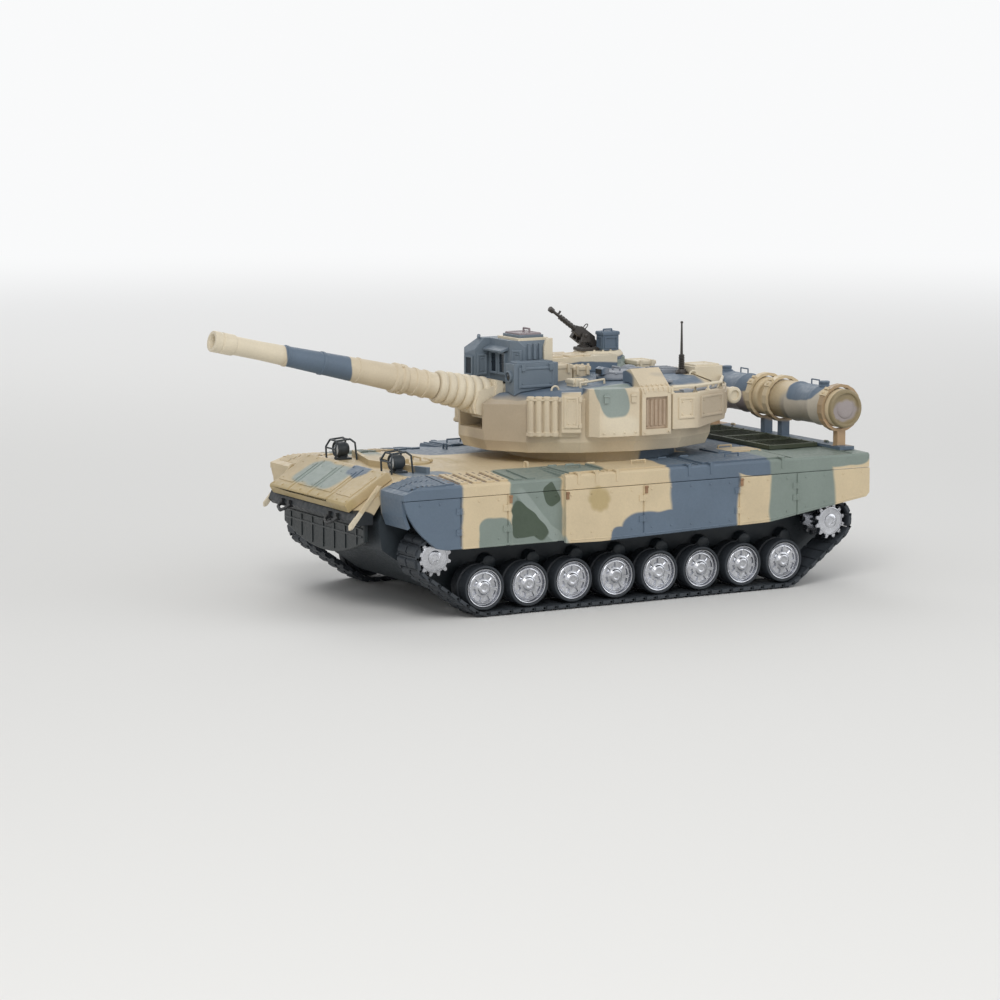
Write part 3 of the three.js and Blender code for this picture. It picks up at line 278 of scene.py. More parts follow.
everywhere = 400
hullCoats = [
    ("slate", [
        (134, 74, 50, 19.5, 27, 60), (-22, 64, 55, 20.5, 38, 40), (-52, 68, 67, 13, 24, 6.5),
        (6, 76, 36, 21, 12, 10.5), (20, 76, 33, 13, 12, 6, 12), (-64, 20, 72, 26, 60, 6.5),
        (-92, -60, 50, 22, 40, 60), (62, -60, 50, 26, 40, 60)]),
    ("greyGreen", [
        (97, 72, 37, 9.5, 10, 11.5), (73.5, 66, 54, 15, 22, 40), (59, 58, 68.5, 27, 13, 4),
        (-80.5, 64, 50, 20, 30, 60), (-110, 66, 68, 14, 24, 7.5), (-10, -66, 48, 26, 40, 50),
        (110, -60, 60, 11, 30, 60)]),
    ("sand", [(-51.5, 74, 47, 8.5, 20, 13), (-66, 38, 69, 11, 9, 4, 15), (-113, 74, 49.5, 11, 20, 10.5)]),
    # a pale grey-green diagonal stripe on the left skirt, a painted highlight
    ("mistGreen", [(71, 74, 47, 3, 9, 20, -42, 0.3)]),
    ("olive", [
        (77.5, 74, 46, 4.6, 9, 13.5, -50), (83.6, 74, 45.5, 4.4, 9, 8), (78.2, 74, 41.6, 8.4, 9, 4.2),
        (64, 73, 58.5, 3.6, 8, 5.4, -30), (-100, 0, 69, 17, 50, 3), (-40, -74, 44, 10, 8, 9, 20),
        (28, -74, 56, 8, 8, 7, -20)]),
    ("dullTan", [(40.5, 76, 54.5, 5, 5, 5, 0, 0.5), (40.5, 76, 54.5, 5, 5, 5, 45, 0.5),
                 # a darker tan on the deck under the gun is its painted shadow; the two spots before it are
                 # camouflage
                 (96, 0, 69, 18, 14, 4, 0, 0.4)]),
    # a browner sand over the front deck and bow, partly its own tone and partly painted shade
    ("bowSand", [(126, 0, 73, 40, 45, 8, 0, 0.25)]),
    ("duskSlate", [(117, 40, 70, 13, 8, 5, 0, 0.3)]),
    # the lower nose is painted near-black as the shadow under the bow
    ("paintedShadow", [(162, 0, 38, 16, 90, 15.5, 0, 0.04)]),
]
plateCoats = [
    ("mistGreen", [(150, -6, 61, 9, 22, 12, 0, 0.2)]),
    ("slate", [(141, 18, 68, 6, 9, 9, 0, 0.3)]),
    # darker tan along the plate's front edge is painted shade
    ("dullTan", [(162, 0, 53, 6, 60, 6, 0, 0.5)]),
]
turretCoats = [
    ("slate", [
        (8, 8, 108, 56, 43, 6.6), (48, 16, 105, 20, 17, 6), (-52, 4, 106, 12, 20, 5), (30, -58, 95, 16, 16, 22),
        (-38, -52, 92, 12, 16, 16), (-68, -8, 92, 10, 11, 9)]),
    ("paleSand", [(2, 12, 121, 40, 34, 8), (-55, 18, 108, 10, 10, 8), (18, 62, 88, 11, 8, 5, 0, 0.5)]),
    ("mistGreen", [(22, 61, 104, 8, 10, 13, -14), (18, 50, 107, 11, 8, 5), (-30, -24, 109, 16, 16, 4)]),
    # painted shade on the turret's front cheek and on the basket's side
    ("paintedShadeSand", [(66, 18, 88, 16, 20, 13, 0, 0.5), (-50, 48, 91, 22, 22, 12, 0, 0.5)]),
]
gunCoats = [
    ("slate", [(156.7, 0, 121, 16.5, everywhere, 30, -6, 0.05)]),
    ("paleSand", [(70, 0, 98, 22, everywhere, 26, 0, 0.5), (205, 0, 133, 30, everywhere, 22)]),
]
drumCoats = [
    ("umberGrey", [(-114, -42, 86, 30, 27, 30)]),
    ("mistSand", [(-114, 38, 85, 30, 19, 13, 0, 0.25)]),
    ("drumTan", [(-114, y, 88, 30, 2.4, 30, 0, 0.3) for y in (67, -67)]),
    ("mauve", [(-114, y, 89.5, 5.4, 5, 5.4, tilt, 0.35) for y in (68, -68) for tilt in (0, 45)]),
    ("slate", [(-116, 37, 99, 16, 14, 7), (-114, -30, 98, 16, 22, 8)]),
]
cradleCoats = [
    ("strapBrown", [(-114, 0, 96, 40, everywhere, 20)]),
    ("sand", [(-114, 0, 97, 40, 14, 18, 0, 0.05)]),
    ("strapTan", [(-114, y, 76, 40, 8, 7.5, 0, 0.1) for y in (59, -59)]),
]

finishes = {
    "camo_hull": camouflage("hullCamouflage", "sand", hullCoats),
    "camo_turret": camouflage("turretCamouflage", "turretSand", turretCoats),
    "camo_gun": camouflage("gunCamouflage", "turretSand", gunCoats),
    "camo_drums": camouflage("drumCamouflage", "sand", drumCoats),
    "slate_paint": camouflage("slatePaint", "slate", [
        ("duskSlate", [(46, -4, 116, 24, 30, 18, 0, 0.3)]), ("mistSlate", [(-4, 24, 110, 12, 12, 4, 0, 0.3)])]),
    "dark_hull": mouldedFinish("darkHullPlastic", (0.027, 0.036, 0.044), 0.5),
    "wheel_chrome": mouldedFinish("mirrorPlating", (0.50, 0.51, 0.54), 0.2, 1.0, 0.8, 0.05, 0.3, 0.1),
    "track_rubber": mouldedFinish("trackRubber", (0.034, 0.041, 0.050), 0.6, 0, 0.9, 0.05, 0.25),
    "black_plastic": mouldedFinish("blackPlastic", (0.018, 0.019, 0.021), 0.42),
    "bare_steel": mouldedFinish("bareSteel", (0.45, 0.46, 0.48), 0.3, 1.0, 0.6),
    "battery_jacket": mouldedFinish("cellJacket", (0.04, 0.06, 0.10), 0.35, 0, 3),
    "board_green": mouldedFinish("solderMask", (0.012, 0.11, 0.045), 0.35, 0, 1.5),
    "lamp_lens": mouldedFinish("lampLens", (0.74, 0.77, 0.80), 0.1, 0, 1.0, 0.05),
}
strapPaint = camouflage("drumStrapPaint", "slate", cradleCoats)
# the bow rib's paler lower tip is a painted highlight
bareSand = camouflage("bareSandPaint", "sand", [("paleSand", [(164, 0, 45, 8, everywhere, 8)])])
paleTrim = camouflage("paleTrim", "paleSand", [("turretSand", [(0, 0, 110, 30, 30, 30, 0, 0.6)])])
# the bow plate's browner sand is partly its own tone and partly painted shade
platePaint = camouflage("bowPlatePaint", "bowSand", plateCoats)
# dark glass, also used for the painted shadow at the foot of the splash board
darkGlassAndShadow = mouldedFinish("periscopeGlass", (0.012, 0.02, 0.03), 0.08, 0, 2.0, 0.01)
brownClasp = mouldedFinish("brownClasp", (0.30, 0.17, 0.09), 0.5)
bowRubber = mouldedFinish("bowRubber", (0.010, 0.016, 0.018), 0.36, 0, 1.6, 0.04)
gripRubber = mouldedFinish("tyreRubber", (0.026, 0.032, 0.040), 0.62, 0, 0.7, 0.05)
gunMetal = mouldedFinish("gunMetal", (0.060, 0.054, 0.050), 0.4, 0.3, 0.8)
deckOlive = mouldedFinish("deckOlive", (0.050, 0.062, 0.036), 0.55)
ribShadeAndDashBrown = mouldedFinish("ribShadeAndDashBrown", (0.20, 0.15, 0.12), 0.55)
panelTan = mouldedFinish("panelTan", (0.44, 0.335, 0.24), 0.5)
mauveTrim = mouldedFinish("mauveTrim", (0.28, 0.235, 0.25), 0.5)
mistTrim = mouldedFinish("mistTrim", (0.26, 0.285, 0.325), 0.5)
slotShadowPaint = mouldedFinish("shadowedSlot", (0.012, 0.013, 0.015), 0.75)
tailRed = mouldedFinish("tailLampRed", (0.42, 0.015, 0.012), 0.2, 0, 2.0)
print("finishes ready")


# Mesh helpers, in millimetres about the turret axis: each adds to the mesh of the piece in hand

work = bmesh.new()
up, left, ahead, astern = (0, 0, 1), (0, 1, 0), (1, 0, 0), (-1, 0, 0)
alongX, alongY = (90, "Y"), (-90, "X")  # the turns that lay local z along that axis
bothSides = (-1, 1)


def turnAt(place, angle=0, axis="Z"):
    return Matrix.Translation(place) @ Matrix.Rotation(math.radians(angle), 4, axis)


# Local z looks along facing and local y upwards
def faceAt(place, facing):
    return Matrix.Translation(place) @ Vector(facing).to_track_quat("Z", "Y").to_matrix().to_4x4()


def closeBox(verts):
    for loop in ((0, 1, 3, 2), (4, 6, 7, 5), (0, 4, 5, 1), (2, 3, 7, 6), (0, 2, 6, 4), (1, 5, 7, 3)):
        work.faces.new([verts[i] for i in loop])


def block(x0, x1, y0, y1, z0, z1, turn=None):
    turn = turn or turnAt((0, 0, 0))
    closeBox([work.verts.new(turn @ Vector((x, y, z))) for x in (x0, x1) for y in (y0, y1) for z in (z0, z1)])


# A flat outline carried along an axis: "x" takes (y, z), "y" takes (x, z), "z" takes (x, y)
def prism(points, low, high, axis, turn=None):
    turn = turn or turnAt((0, 0, 0))
    ends = []
    for w in (low, high):
        corners = [{"x": (w, u, v), "y": (u, w, v), "z": (u, v, w)}[axis] for u, v in points]
        ends.append([work.verts.new(turn @ Vector(corner)) for corner in corners])
        work.faces.new(ends[-1])
    for a, b, c, d in zip(ends[0], ends[0][1:] + ends[0][:1], ends[1][1:] + ends[1][:1], ends[1]):
        work.faces.new((a, b, c, d))


# An outline closed by its own mirror image
def mirrored(points):
    return points + [(-u, v) for u, v in reversed(points)]


# A turned profile of (radius, height) pairs; returns its rings of faces
def turned(profile, turn, segments=32, flutes=0):
    rings = []
    for radius, height in profile:
        ring = []
        for k in range(segments if radius > 1e-6 else 1):
            angle = 2 * math.pi * k / segments
            reach = radius + (0.05 * math.cos(flutes * angle) if flutes and radius > 1 else 0)
            ring.append(work.verts.new(turn @ Vector((reach * math.cos(angle), reach * math.sin(angle), height))))
        rings.append(ring)
    bands = []
    for low, high in zip(rings, rings[1:]):
        band = []
        for k in range(segments):
            n = (k + 1) % segments
            loop = [low[k % len(low)], low[n % len(low)], high[n % len(high)], high[k % len(high)]]
            band.append(work.faces.new(list(dict.fromkeys(loop))))
        bands.append(band)
    for ring in (rings[0], rings[-1]):
        if len(ring) > 1:
            work.faces.new(ring)
    return bands


def rod(a, b, radius, segments=14, tip=None):
    a, b = Vector(a), Vector(b)
    length = (b - a).length
    end = radius if tip is None else tip
    soft = min(0.25, radius * 0.3)
    turned([(0, 0), (radius - soft, 0), (radius, soft), (end, length - soft), (end - soft, length), (0, length)],
           faceAt(a, b - a), segments)


def bolt(place, facing, radius, height, turn=None):
    if turn:
        place, facing = turn @ Vector(place), turn.to_3x3() @ Vector(facing)
    turned([(radius, -0.3), (radius, height * 0.55), (radius * 0.72, height), (0, height * 1.15)],
           faceAt(place, facing), 10)


# Bolts at every crossing of the given places
def bolts(xs, ys, zs, facing, radius, height, turn=None):
    for x in xs:
        for y in ys:
            for z in zs:
                bolt((x, y, z), facing, radius, height, turn)


# Bolts on a circle square to facing, the first one shift steps round it
def boltRing(place, facing, reach, count, shift, radius, height):
    turn = faceAt(place, facing)
    for k in range(count):
        angle = 2 * math.pi * (k + shift) / count
        bolt(turn @ Vector((reach * math.cos(angle), reach * math.sin(angle), 0)), facing, radius, height)


# A bent wire through the given points
def rail(points, radius, segments=8, turn=None):
    points = [turn @ Vector(point) if turn else Vector(point) for point in points]
    for a, b in zip(points, points[1:]):
        rod(a, b, radius, segments)
    for point in points[1:-1]:
        knob = bmesh.ops.create_icosphere(work, subdivisions=1, radius=radius)
        bmesh.ops.translate(work, vec=point, verts=knob["verts"])


# A wire handle on two feet
def handle(x0, y0, x1, y1, low, high, radius):
    rail([(x0, y0, low), (x0, y0, high), (x1, y1, high), (x1, y1, low)], radius)


# A raised frame of four bars round a window
def bars(turn, wide, tall, bar, rise):
    a, b, half = wide / 2, tall / 2, bar / 2
    for side in bothSides:
        block(side * a - half, side * a + half, -b - half, b + half, -0.4, rise, turn)
        block(half - a, a - half, side * b - half, side * b + half, -0.4, rise, turn)


# A lid with a raised border, a sunk middle and a screw in each corner
def lid(turn, wide, tall, rise, border=1.2, screw=0.5):
    rings = []
    for inset, height in ((0, -0.4), (0, rise * 0.65), (0.35, rise), (border, rise), (border + 0.2, rise - 0.4)):
        a, b = wide / 2 - inset, tall / 2 - inset
        rings.append([work.verts.new(turn @ Vector((x, y, height))) for x, y in ((-a, -b), (a, -b), (a, b), (-a, b))])
    for low, high in zip(rings, rings[1:]):
        for k in range(4):
            n = (k + 1) % 4
            work.faces.new((low[k], low[n], high[n], high[k]))
    work.faces.new(rings[0])
    work.faces.new(rings[-1])
    if screw:
        a, b = wide / 2 - border - 1.1, tall / 2 - border - 1.1
        bolts((-a, a), (-b, b), [rise - 0.4], up, screw, screw * 0.8, turn)


# Sinks windows into a ring of faces that looks along y
def windowRing(band, count, share, inset, depth):
    step = len(band) // count
    for w in range(count):
        group = band[w * step:w * step + max(1, int(step * share))]
        bmesh.ops.inset_region(work, faces=group, thickness=inset, use_boundary=True)
        verts = {v for face in group for v in face.verts}
        bmesh.ops.translate(work, vec=Vector((0, -depth, 0)), verts=list(verts))


def roundEdges(obj, width):
    bevel = obj.modifiers.new("roundedEdges", "BEVEL")
    bevel.width = width * mm
    bevel.segments = 2
    bevel.limit_method = "ANGLE"
    bevel.angle_limit = math.radians(30)
    bevel.miter_outer = "MITER_ARC"
    normals = obj.modifiers.new("evenNormals", "WEIGHTED_NORMAL")
    normals.keep_sharp = True
    normals.weight = 60


def makePiece(name, build, body, slot, replaced=(), material=None, edge=0.0, angle=38, mirror=False):
    build()
    bmesh.ops.recalc_face_normals(work, faces=work.faces)
    move = toFrame @ Matrix.Scale(-1, 4, left) if mirror else toFrame
    bmesh.ops.transform(work, matrix=move, verts=work.verts)
    if mirror:
        bmesh.ops.reverse_faces(work, faces=work.faces)
    mesh = bpy.data.meshes.new(name)
    work.to_mesh(mesh)
    work.clear()
    mesh.polygons.foreach_set("use_smooth", [True] * len(mesh.polygons))
    mesh.set_sharp_from_angle(angle=math.radians(angle))
    mesh.materials.append(material or finishes[slot])
    obj = bpy.data.objects.new(name, mesh)
    bpy.context.collection.objects.link(obj)
    if edge:
        roundEdges(obj, edge)
    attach(obj, body)
    if replaced:
        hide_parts(*replaced)


def makePair(name, build, body, slot, replaced=(), **look):
    for side in ("left", "right"):
        makePiece(name + side.capitalize(), build, body.format(side=side), slot,
                  [node.format(side=side) for node in replaced], mirror=side == "right", **look)


# A function under one of these draws the piece of its own name: body, slot, replaced nodes, then its look
def piece(*place, **look):
    return lambda build: makePiece(build.__name__, build, *place, **look)


def pair(*place, **look):
    return lambda build: makePair(build.__name__, build, *place, **look)


# CAD nodes that keep their shape: paint, softened edges, even shading

slotOf = {part["node"]: part["material_slot"] for part in frame["record"]["subparts"]}
ownPaint = {"bow_flap": bowRubber, "drum_cradle": strapPaint, "glacis_armour": platePaint}
softEdges = {
    "upper_hull": 0.4, "lower_hull": 0.35, "side_skirt_left": 0.3, "side_skirt_right": 0.3, "glacis_armour": 0.5,
    "bow_flap": 0.5, "engine_grille": 0.25, "drum_cradle": 0.3, "turret_shell": 0.6, "launcher_bank_left": 0.3,
    "launcher_bank_right": 0.3, "side_stowage_left": 0.5, "side_stowage_right": 0.5, "rear_basket": 0.6,
    "sight_housing": 0.4, "commander_cupola": 0.3, "gunner_hatch": 0.3,
}


def dressNode(name, node):
    for materialSlot in node.material_slots:
        materialSlot.material = ownPaint.get(name, finishes[slotOf[name]])
    if name not in softEdges:
        return
    node.modifiers.new("weld", "WELD").merge_threshold = 0.01 * mm
    if name != "upper_hull":  # its fender tops tear when flat faces are joined
        flat = node.modifiers.new("flatFaces", "DECIMATE")
        flat.decimate_type = "DISSOLVE"
        flat.angle_limit = math.radians(1)
    roundEdges(node, softEdges[name])


for nodeName, node in nodes.items():
    dressNode(nodeName, node)
print("packed nodes painted:", len(nodes))


# Tracks: a closed chain of shoes round the sprocket, the outer road wheels and the idler

trackSetup = {
    "hubs": [(-103.5, 32.5, 9.5), (-75, 14, 11.3), (100, 14, 11.3), (127.5, 31, 9.5)],
    "midY": 60.5, "halfWidth": 9.9, "bandDepth": 1.4, "shoeHeight": 2.65, "pitch": 6.4,
}


def loopStretches(hubs, offset):
    runs = []
    for (x, z, r), (nextX, nextZ, nextR) in zip(hubs, hubs[1:] + hubs[:1]):
        far = math.hypot(nextX - x, nextZ - z)
        normal = math.atan2(nextZ - z, nextX - x) - math.acos((r - nextR) / far)
        runs.append((Vector((x, z)), r, Vector((nextX, nextZ)), nextR, normal))
    stretches = []
    for i, (hub, r, nextHub, nextR, normal) in enumerate(runs):
        out = Vector((math.cos(normal), math.sin(normal)))
        start = hub + out * (r + offset)
        end = nextHub + out * (nextR + offset)
        stretches.append(((end - start).length, start, end, normal, None))
        sweep = (runs[(i + 1) % len(runs)][4] - normal) % (2 * math.pi)
        stretches.append((sweep * (nextR + offset), nextHub, nextR + offset, normal, sweep))
    return stretches


def onLoop(stretches, distance):
    for length, a, b, normal, sweep in stretches:
        if distance <= length:
            share = distance / length
            if sweep is None:
                return a.lerp(b, share), normal
            angle = normal + sweep * share
            return a + Vector((math.cos(angle), math.sin(angle))) * b, angle
        distance -= length
    return onLoop(stretches, 0)


# One shoe lying along x, outward up
def shoe(half, turn):
    y, low = trackSetup["halfWidth"], -trackSetup["bandDepth"]
    top = trackSetup["shoeHeight"] + low
    prism(mirrored([(half - 0.35, low + 0.25), (half - 0.2, -0.35), (half - 0.7, 0)]), -y + 0.9, y - 0.9, "y", turn)
    for y0, y1 in ((-y + 1.2, -0.9), (0.9, y - 1.2)):
        prism(mirrored([(half - 0.75, -0.2), (half - 1.25, top * 0.75), (half - 1.7, top)]), y0, y1, "y", turn)
    block(-half + 1.5, half - 1.5, -0.9, 0.9, -0.3, top * 0.55, turn)
    for side in bothSides:
        block(-half - 0.9, half * 0.35, side * (y - 1.3), side * y, low + 0.1, 0.25, turn)
        turned([(0, -0.6), (0.62, -0.6), (0.62, 0.6), (0, 0.6)],
               turn @ turnAt((half - 0.45, side * (y - 0.6), -0.5), *alongY), 8)


@pair("hull", "track_rubber", ["track_{side}"])
def linkTrack():
    stretches = loopStretches(trackSetup["hubs"], trackSetup["bandDepth"])
    total = sum(stretch[0] for stretch in stretches)
    count = round(total / trackSetup["pitch"])
    for k in range(count):
        spot, angle = onLoop(stretches, (k + 0.5) * total / count)
        c, s = math.cos(angle), math.sin(angle)
        shoe(total / count / 2, Matrix(((-s, 0, c, spot.x), (0, 1, 0, trackSetup["midY"]), (c, 0, s, spot.y),
                                        (0, 0, 0, 1))))


print("tracks linked")


# Road wheels: a grooved rubber tyre round a plated dish with eight windows and a hub cap

wheelSetup = {"faceY": 68, "axleZ": 14, "axleX": [100 - 25 * k for k in range(8)], "segments": 48, "windows": 8}
tyreProfile = [
    (0, -13.4), (5.5, -13.2), (6.2, -13.8), (8.8, -13.8), (9.6, -15), (10.6, -15), (10.95, -14.5), (10.95, -8.6),
    (10.1, -8.2), (10.1, -7), (10.95, -6.6), (10.95, -0.7), (10.75, -0.25), (10.2, -0.1), (9.75, -0.3), (9.55, -0.9),
    (9.5, -3.2), (0, -3.2)]
dishProfile = [
    (0, -3), (9.45, -3), (9.5, -0.7), (9.25, -0.35), (8.9, -0.45), (8.7, -1.1), (8.5, -2.0), (8.2, -2.1),
    (7.95, -1.35), (7.5, -1.0), (7.0, -1.05), (4.5, -1.25), (3.7, -1.2), (3.3, -0.9), (3.1, -0.35), (2.5, -0.12),
    (1.6, -0.1), (1.3, -0.3), (1.1, -0.3), (0, -0.2)]


def wheelTurn(x, z):
    return turnAt((x, wheelSetup["faceY"], z), *alongY)


def tyre(x, z):
    turned(tyreProfile, wheelTurn(x, z), wheelSetup["segments"])


def dish(x, z):
    bands = turned(dishProfile, wheelTurn(x, z), wheelSetup["segments"])
    windowRing(bands[10], wheelSetup["windows"], 0.7, 0.28, 0.9)
    boltRing((x, wheelSetup["faceY"] - 1, z), left, 7.25, wheelSetup["windows"], 0.85, 0.35, 0.3)


for number, axle in enumerate(wheelSetup["axleX"], 1):
    body = "road_wheel_%d_{side}" % number
    spot = (axle, wheelSetup["axleZ"])
    makePair("roadWheel%d" % number, lambda: dish(*spot), body, "wheel_chrome", [body], angle=50)
    makePair("roadTyre%d" % number, lambda: tyre(*spot), body, "track_rubber", material=gripRubber, angle=50)


# Idler and sprocket: two toothed rims on a dished hub

toothedSetup = {"tip": 9.2, "root": 7.4, "teeth": 12, "segments": 48, "idler": (127.5, 31),
                "sprocket": (-103.5, 32.5)}
hubProfile = [
    (2.3, -15.3), (6, -15.2), (6.2, -12), (6, -3), (7.2, -2.8), (7.3, -0.1), (6.9, 0.15), (6.4, 0.1), (6.1, -0.6),
    (5.9, -0.7), (4.1, -0.75), (3.8, -0.6), (3.5, 0.1), (2.8, 0.4), (1.7, 0.45), (1.5, 0.2), (0, 0.25)]


def toothedOutline(tip, root, teeth):
    shape = ((0, root), (0.2, root), (0.34, tip - 0.4), (0.42, tip), (0.58, tip), (0.66, tip - 0.4), (0.8, root))
    spokes = [((k + share) * 2 * math.pi / teeth, reach) for k in range(teeth) for share, reach in shape]
    return [(reach * math.cos(angle), reach * math.sin(angle)) for angle, reach in spokes]


def toothedWheel(x, z):
    outline = toothedOutline(*(toothedSetup[key] for key in ("tip", "root", "teeth")))
    shift = turnAt((x, wheelSetup["faceY"], z))
    for scale, low, high in ((1, -3, -0.5), (0.955, -0.55, -0.15), (1, -15, -12)):
        prism([(u * scale, v * scale) for u, v in outline], low, high, "y", shift)
    bands = turned(hubProfile, wheelTurn(x, z), toothedSetup["segments"])
    windowRing(bands[9], toothedSetup["teeth"], 0.75, 0.18, 0.9)
    boltRing((x, wheelSetup["faceY"] + 0.4, z), left, 2.3, 6, 0, 0.32, 0.2)


@pair("idler_{side}", "wheel_chrome", ["idler_{side}"], angle=40)
def idlerWheel():
    toothedWheel(*toothedSetup["idler"])


@pair("drive_{side}", "wheel_chrome", ["drive_sprocket_{side}"], angle=40)
def sprocketWheel():
    toothedWheel(*toothedSetup["sprocket"])


print("wheels turned")


# Gun: ribbed boot on the mantlet, sleeved barrel with a band and a muzzle collar

gunSetup = {"trunnion": (50, 0, 96.5), "raise": 13, "reach": 167, "bootStart": 13, "bootEnd": 42, "ribs": 6}
gunTurn = turnAt(gunSetup["trunnion"], -gunSetup["raise"], "Y")
gunAlong = gunTurn @ turnAt((0, 0, 0), *alongX)


@piece("gun", "camo_gun", ["mantlet"], angle=60)
def ribbedMantlet():
    start, end, ribs = gunSetup["bootStart"], gunSetup["bootEnd"], gunSetup["ribs"]
    turned([(0, -11), (7.6, -11), (8.6, -10.2), (8.6, 10.2), (7.6, 11), (0, 11)],
           gunTurn @ turnAt((0, 0, 0), *alongY), 40)
    shield = mirrored([(8.8, -11.2), (10.6, -9.6), (10.6, 6.6), (8, 9.2)])
    prism(shield, 8.5, 12.4, "x", gunTurn)
    prism([(y * 0.9, z * 0.88) for y, z in shield], 12.2, 13, "x", gunTurn)
    bolts([12.4], (-9.7, 9.7), (-8.8, -2.4, 4), ahead, 0.5, 0.3, gunTurn)
    prism([(12.8, -10.2), (20.2, -9.6), (21.8, -6), (21.4, 2), (12.8, 6)], -9.5, 9.5, "y", gunTurn)
    for y in (-7.6, -3.8, 0, 3.8, 7.6):
        prism([(19.8, -9.9), (21.2, -9.6), (22.7, -6), (22.3, 1), (20.6, 1)], y - 0.9, y + 0.9, "y", gunTurn)
    profile = [(0, 3), (7.2, 3), (7.2, start - 1)]
    pitch = (end - start) / ribs
    for k in range(ribs):
        for share, drop in ((0.02, 1.5), (0.12, 0.5), (0.3, 0.05), (0.5, 0), (0.7, 0.1), (0.88, 0.6), (0.98, 1.5)):
            profile.append((9.6 - 0.25 * k - drop, start + pitch * (k + share)))
    turned(profile + [(7.2, end - 0.1), (0, end - 0.1)], gunAlong, 40)


@piece("gun", "camo_gun", ["gun_barrel"], angle=32)
def sleevedBarrel():
    reach = gunSetup["reach"]
    profile = [(0, 42.3), (6.2, 42.3), (6.6, 42.8)]
    for band in (47.5, 53.5):
        profile += [(6.6, band), (7.1, band + 0.3), (7.1, band + 1.8), (6.6, band + 2.1)]
    profile += [(6.6, 59.5), (7.3, 60), (7.6, 60.6), (7.6, 62.6), (7.1, 63), (7.1, 64), (7.6, 64.4), (7.6, 66.4),
                (7.2, 66.9), (6.6, 67.3)]
    for strap in (86, 106, 126):
        r = 6.6 - 2.0 * (strap - 67) / (reach - 27 - 67)
        profile += [(r, strap), (r + 0.32, strap + 0.25), (r + 0.32, strap + 1.5), (r - 0.05, strap + 1.75)]
    muzzle = [(4.6, -27), (4.6, -12), (5.0, -11.6), (5.2, -11), (5.2, -5), (4.9, -4.7), (4.9, -4.1), (5.2, -3.8),
              (5.2, -0.4), (4.9, 0), (3.6, 0), (2.9, -1.2), (2.8, -14), (0, -14)]
    turned(profile + [(radius, reach + height) for radius, height in muzzle], gunAlong, 40)
    for angle in (0.5, 2.64):
        offset = Vector((7.4 * math.cos(angle), 7.4 * math.sin(angle), 0))
        bolt(offset + Vector((0, 0, 63.5)), offset, 0.8, 0.5, gunAlong)


print("gun fitted")


# Rear drums: turned bodies with rolled hoops, recessed ends and a filler cap

drumSetup = {"x": -114, "z": 89.5, "radius": 10.5, "startY": 3, "length": 63}


@pair("hull", "camo_drums", ["fuel_drum_{side}"], angle=45)
def fuelDrum():
    r, length = drumSetup["radius"] - 0.5, drumSetup["length"]
    profile = [(0, 1.6), (3, 1.6), (3.2, 1.2), (r - 2.4, 1.2), (r - 1.9, 0.2), (r - 1.1, 0), (r - 0.4, 0.4), (r, 1.2)]
    for y in (length * 0.33, length * 0.67):
        profile += [(r, y - 1.3), (r + 0.35, y - 0.8), (r + 0.5, y), (r + 0.35, y + 0.8), (r, y + 1.3)]
    profile += [(radius, length - inset) for radius, inset in (
        (r, 1.2), (r - 0.4, 0.4), (r - 1.1, 0), (r - 1.9, 0.2), (r - 2.4, 1.2), (5.2, 1.2), (4.8, 0.7), (3.4, 0.5),
        (0, 0.5))]
    turned(profile, turnAt((drumSetup["x"], drumSetup["startY"], drumSetup["z"]), *alongY), 44)


# Filler neck with its cap, and a buckle on each strap
@pair("hull", "camo_drums", edge=0.12)
def drumFittings():
    x, z, r = drumSetup["x"], drumSetup["z"], drumSetup["radius"]
    top = z + r - 1
    turned([(3.2, 0), (3.2, 0.9), (2.5, 1.1), (2.5, 1.9), (2.7, 2.1), (2.7, 2.9), (2.2, 3.2), (0, 3.3)],
           turnAt((x, 46, top)), 24)
    handle(x - 3, 30, x - 3, 37, top, top + 2.6, 0.4)
    for y in (8, 59):
        turn = turnAt((x, y, z), 50, "Y")
        block(-1.6, 1.6, -2.6, 2.6, r + 1.5, r + 2.4, turn)
        block(-3.6, -2.2, -1.4, 1.4, r + 1.5, r + 2.6, turn)
        bolt((0, 0, r + 2.4), up, 0.8, 0.6, turn)


print("drums fitted")


# Hull top: louvres and gratings on the fenders, lid fittings on the side boxes

deck = {"z": 68, "half": 47, "boxFront": 59, "front": (65.2, 73), "box": (66.8, 75.4)}
fenderSetup = {"slatX": [124 + 2.9 * k for k in range(7)], "ribX": [88 + 7.5 * k for k in range(5)], "rib": 4.5,
               "bays": ((50, 59.6), (60.6, 70)), "lids": ((38, 55), (-16, 33), (-72, -22))}


def topAt(x, y):
    edge, side = deck["front"] if x > deck["boxFront"] else deck["box"]
    out = max(0, abs(y) - deck["half"])
    crown = deck["z"] - (deck["z"] - edge - 0.6) * out / (side - 1 - deck["half"])
    slope = 69 - (x - 128) * 4 / 13 if x < 141 else 65 - (x - 141) / 3
    return min(crown, slope)


# A strip lying on the hull top, with its own rise at either end
def topStrip(x0, x1, y0, y1, rise, endRise):
    closeBox([work.verts.new((x, y, topAt(x, y) + lift)) for x, top in ((x0, rise), (x1, endRise)) for y in (y0, y1)
              for lift in (-0.3, top)])


@pair("hull", "camo_hull", edge=0.08)
def fenderSlats():
    for x in fenderSetup["slatX"]:
        for y0, y1 in fenderSetup["bays"]:
            topStrip(x, x + 1.9, y0, y1, 1.0, 0.25)
    for y0, y1 in ((49, 49.8), (59.8, 60.4), (70.2, 71)):
        topStrip(123.2, 140.9, y0, y1, 0.9, 0.9)


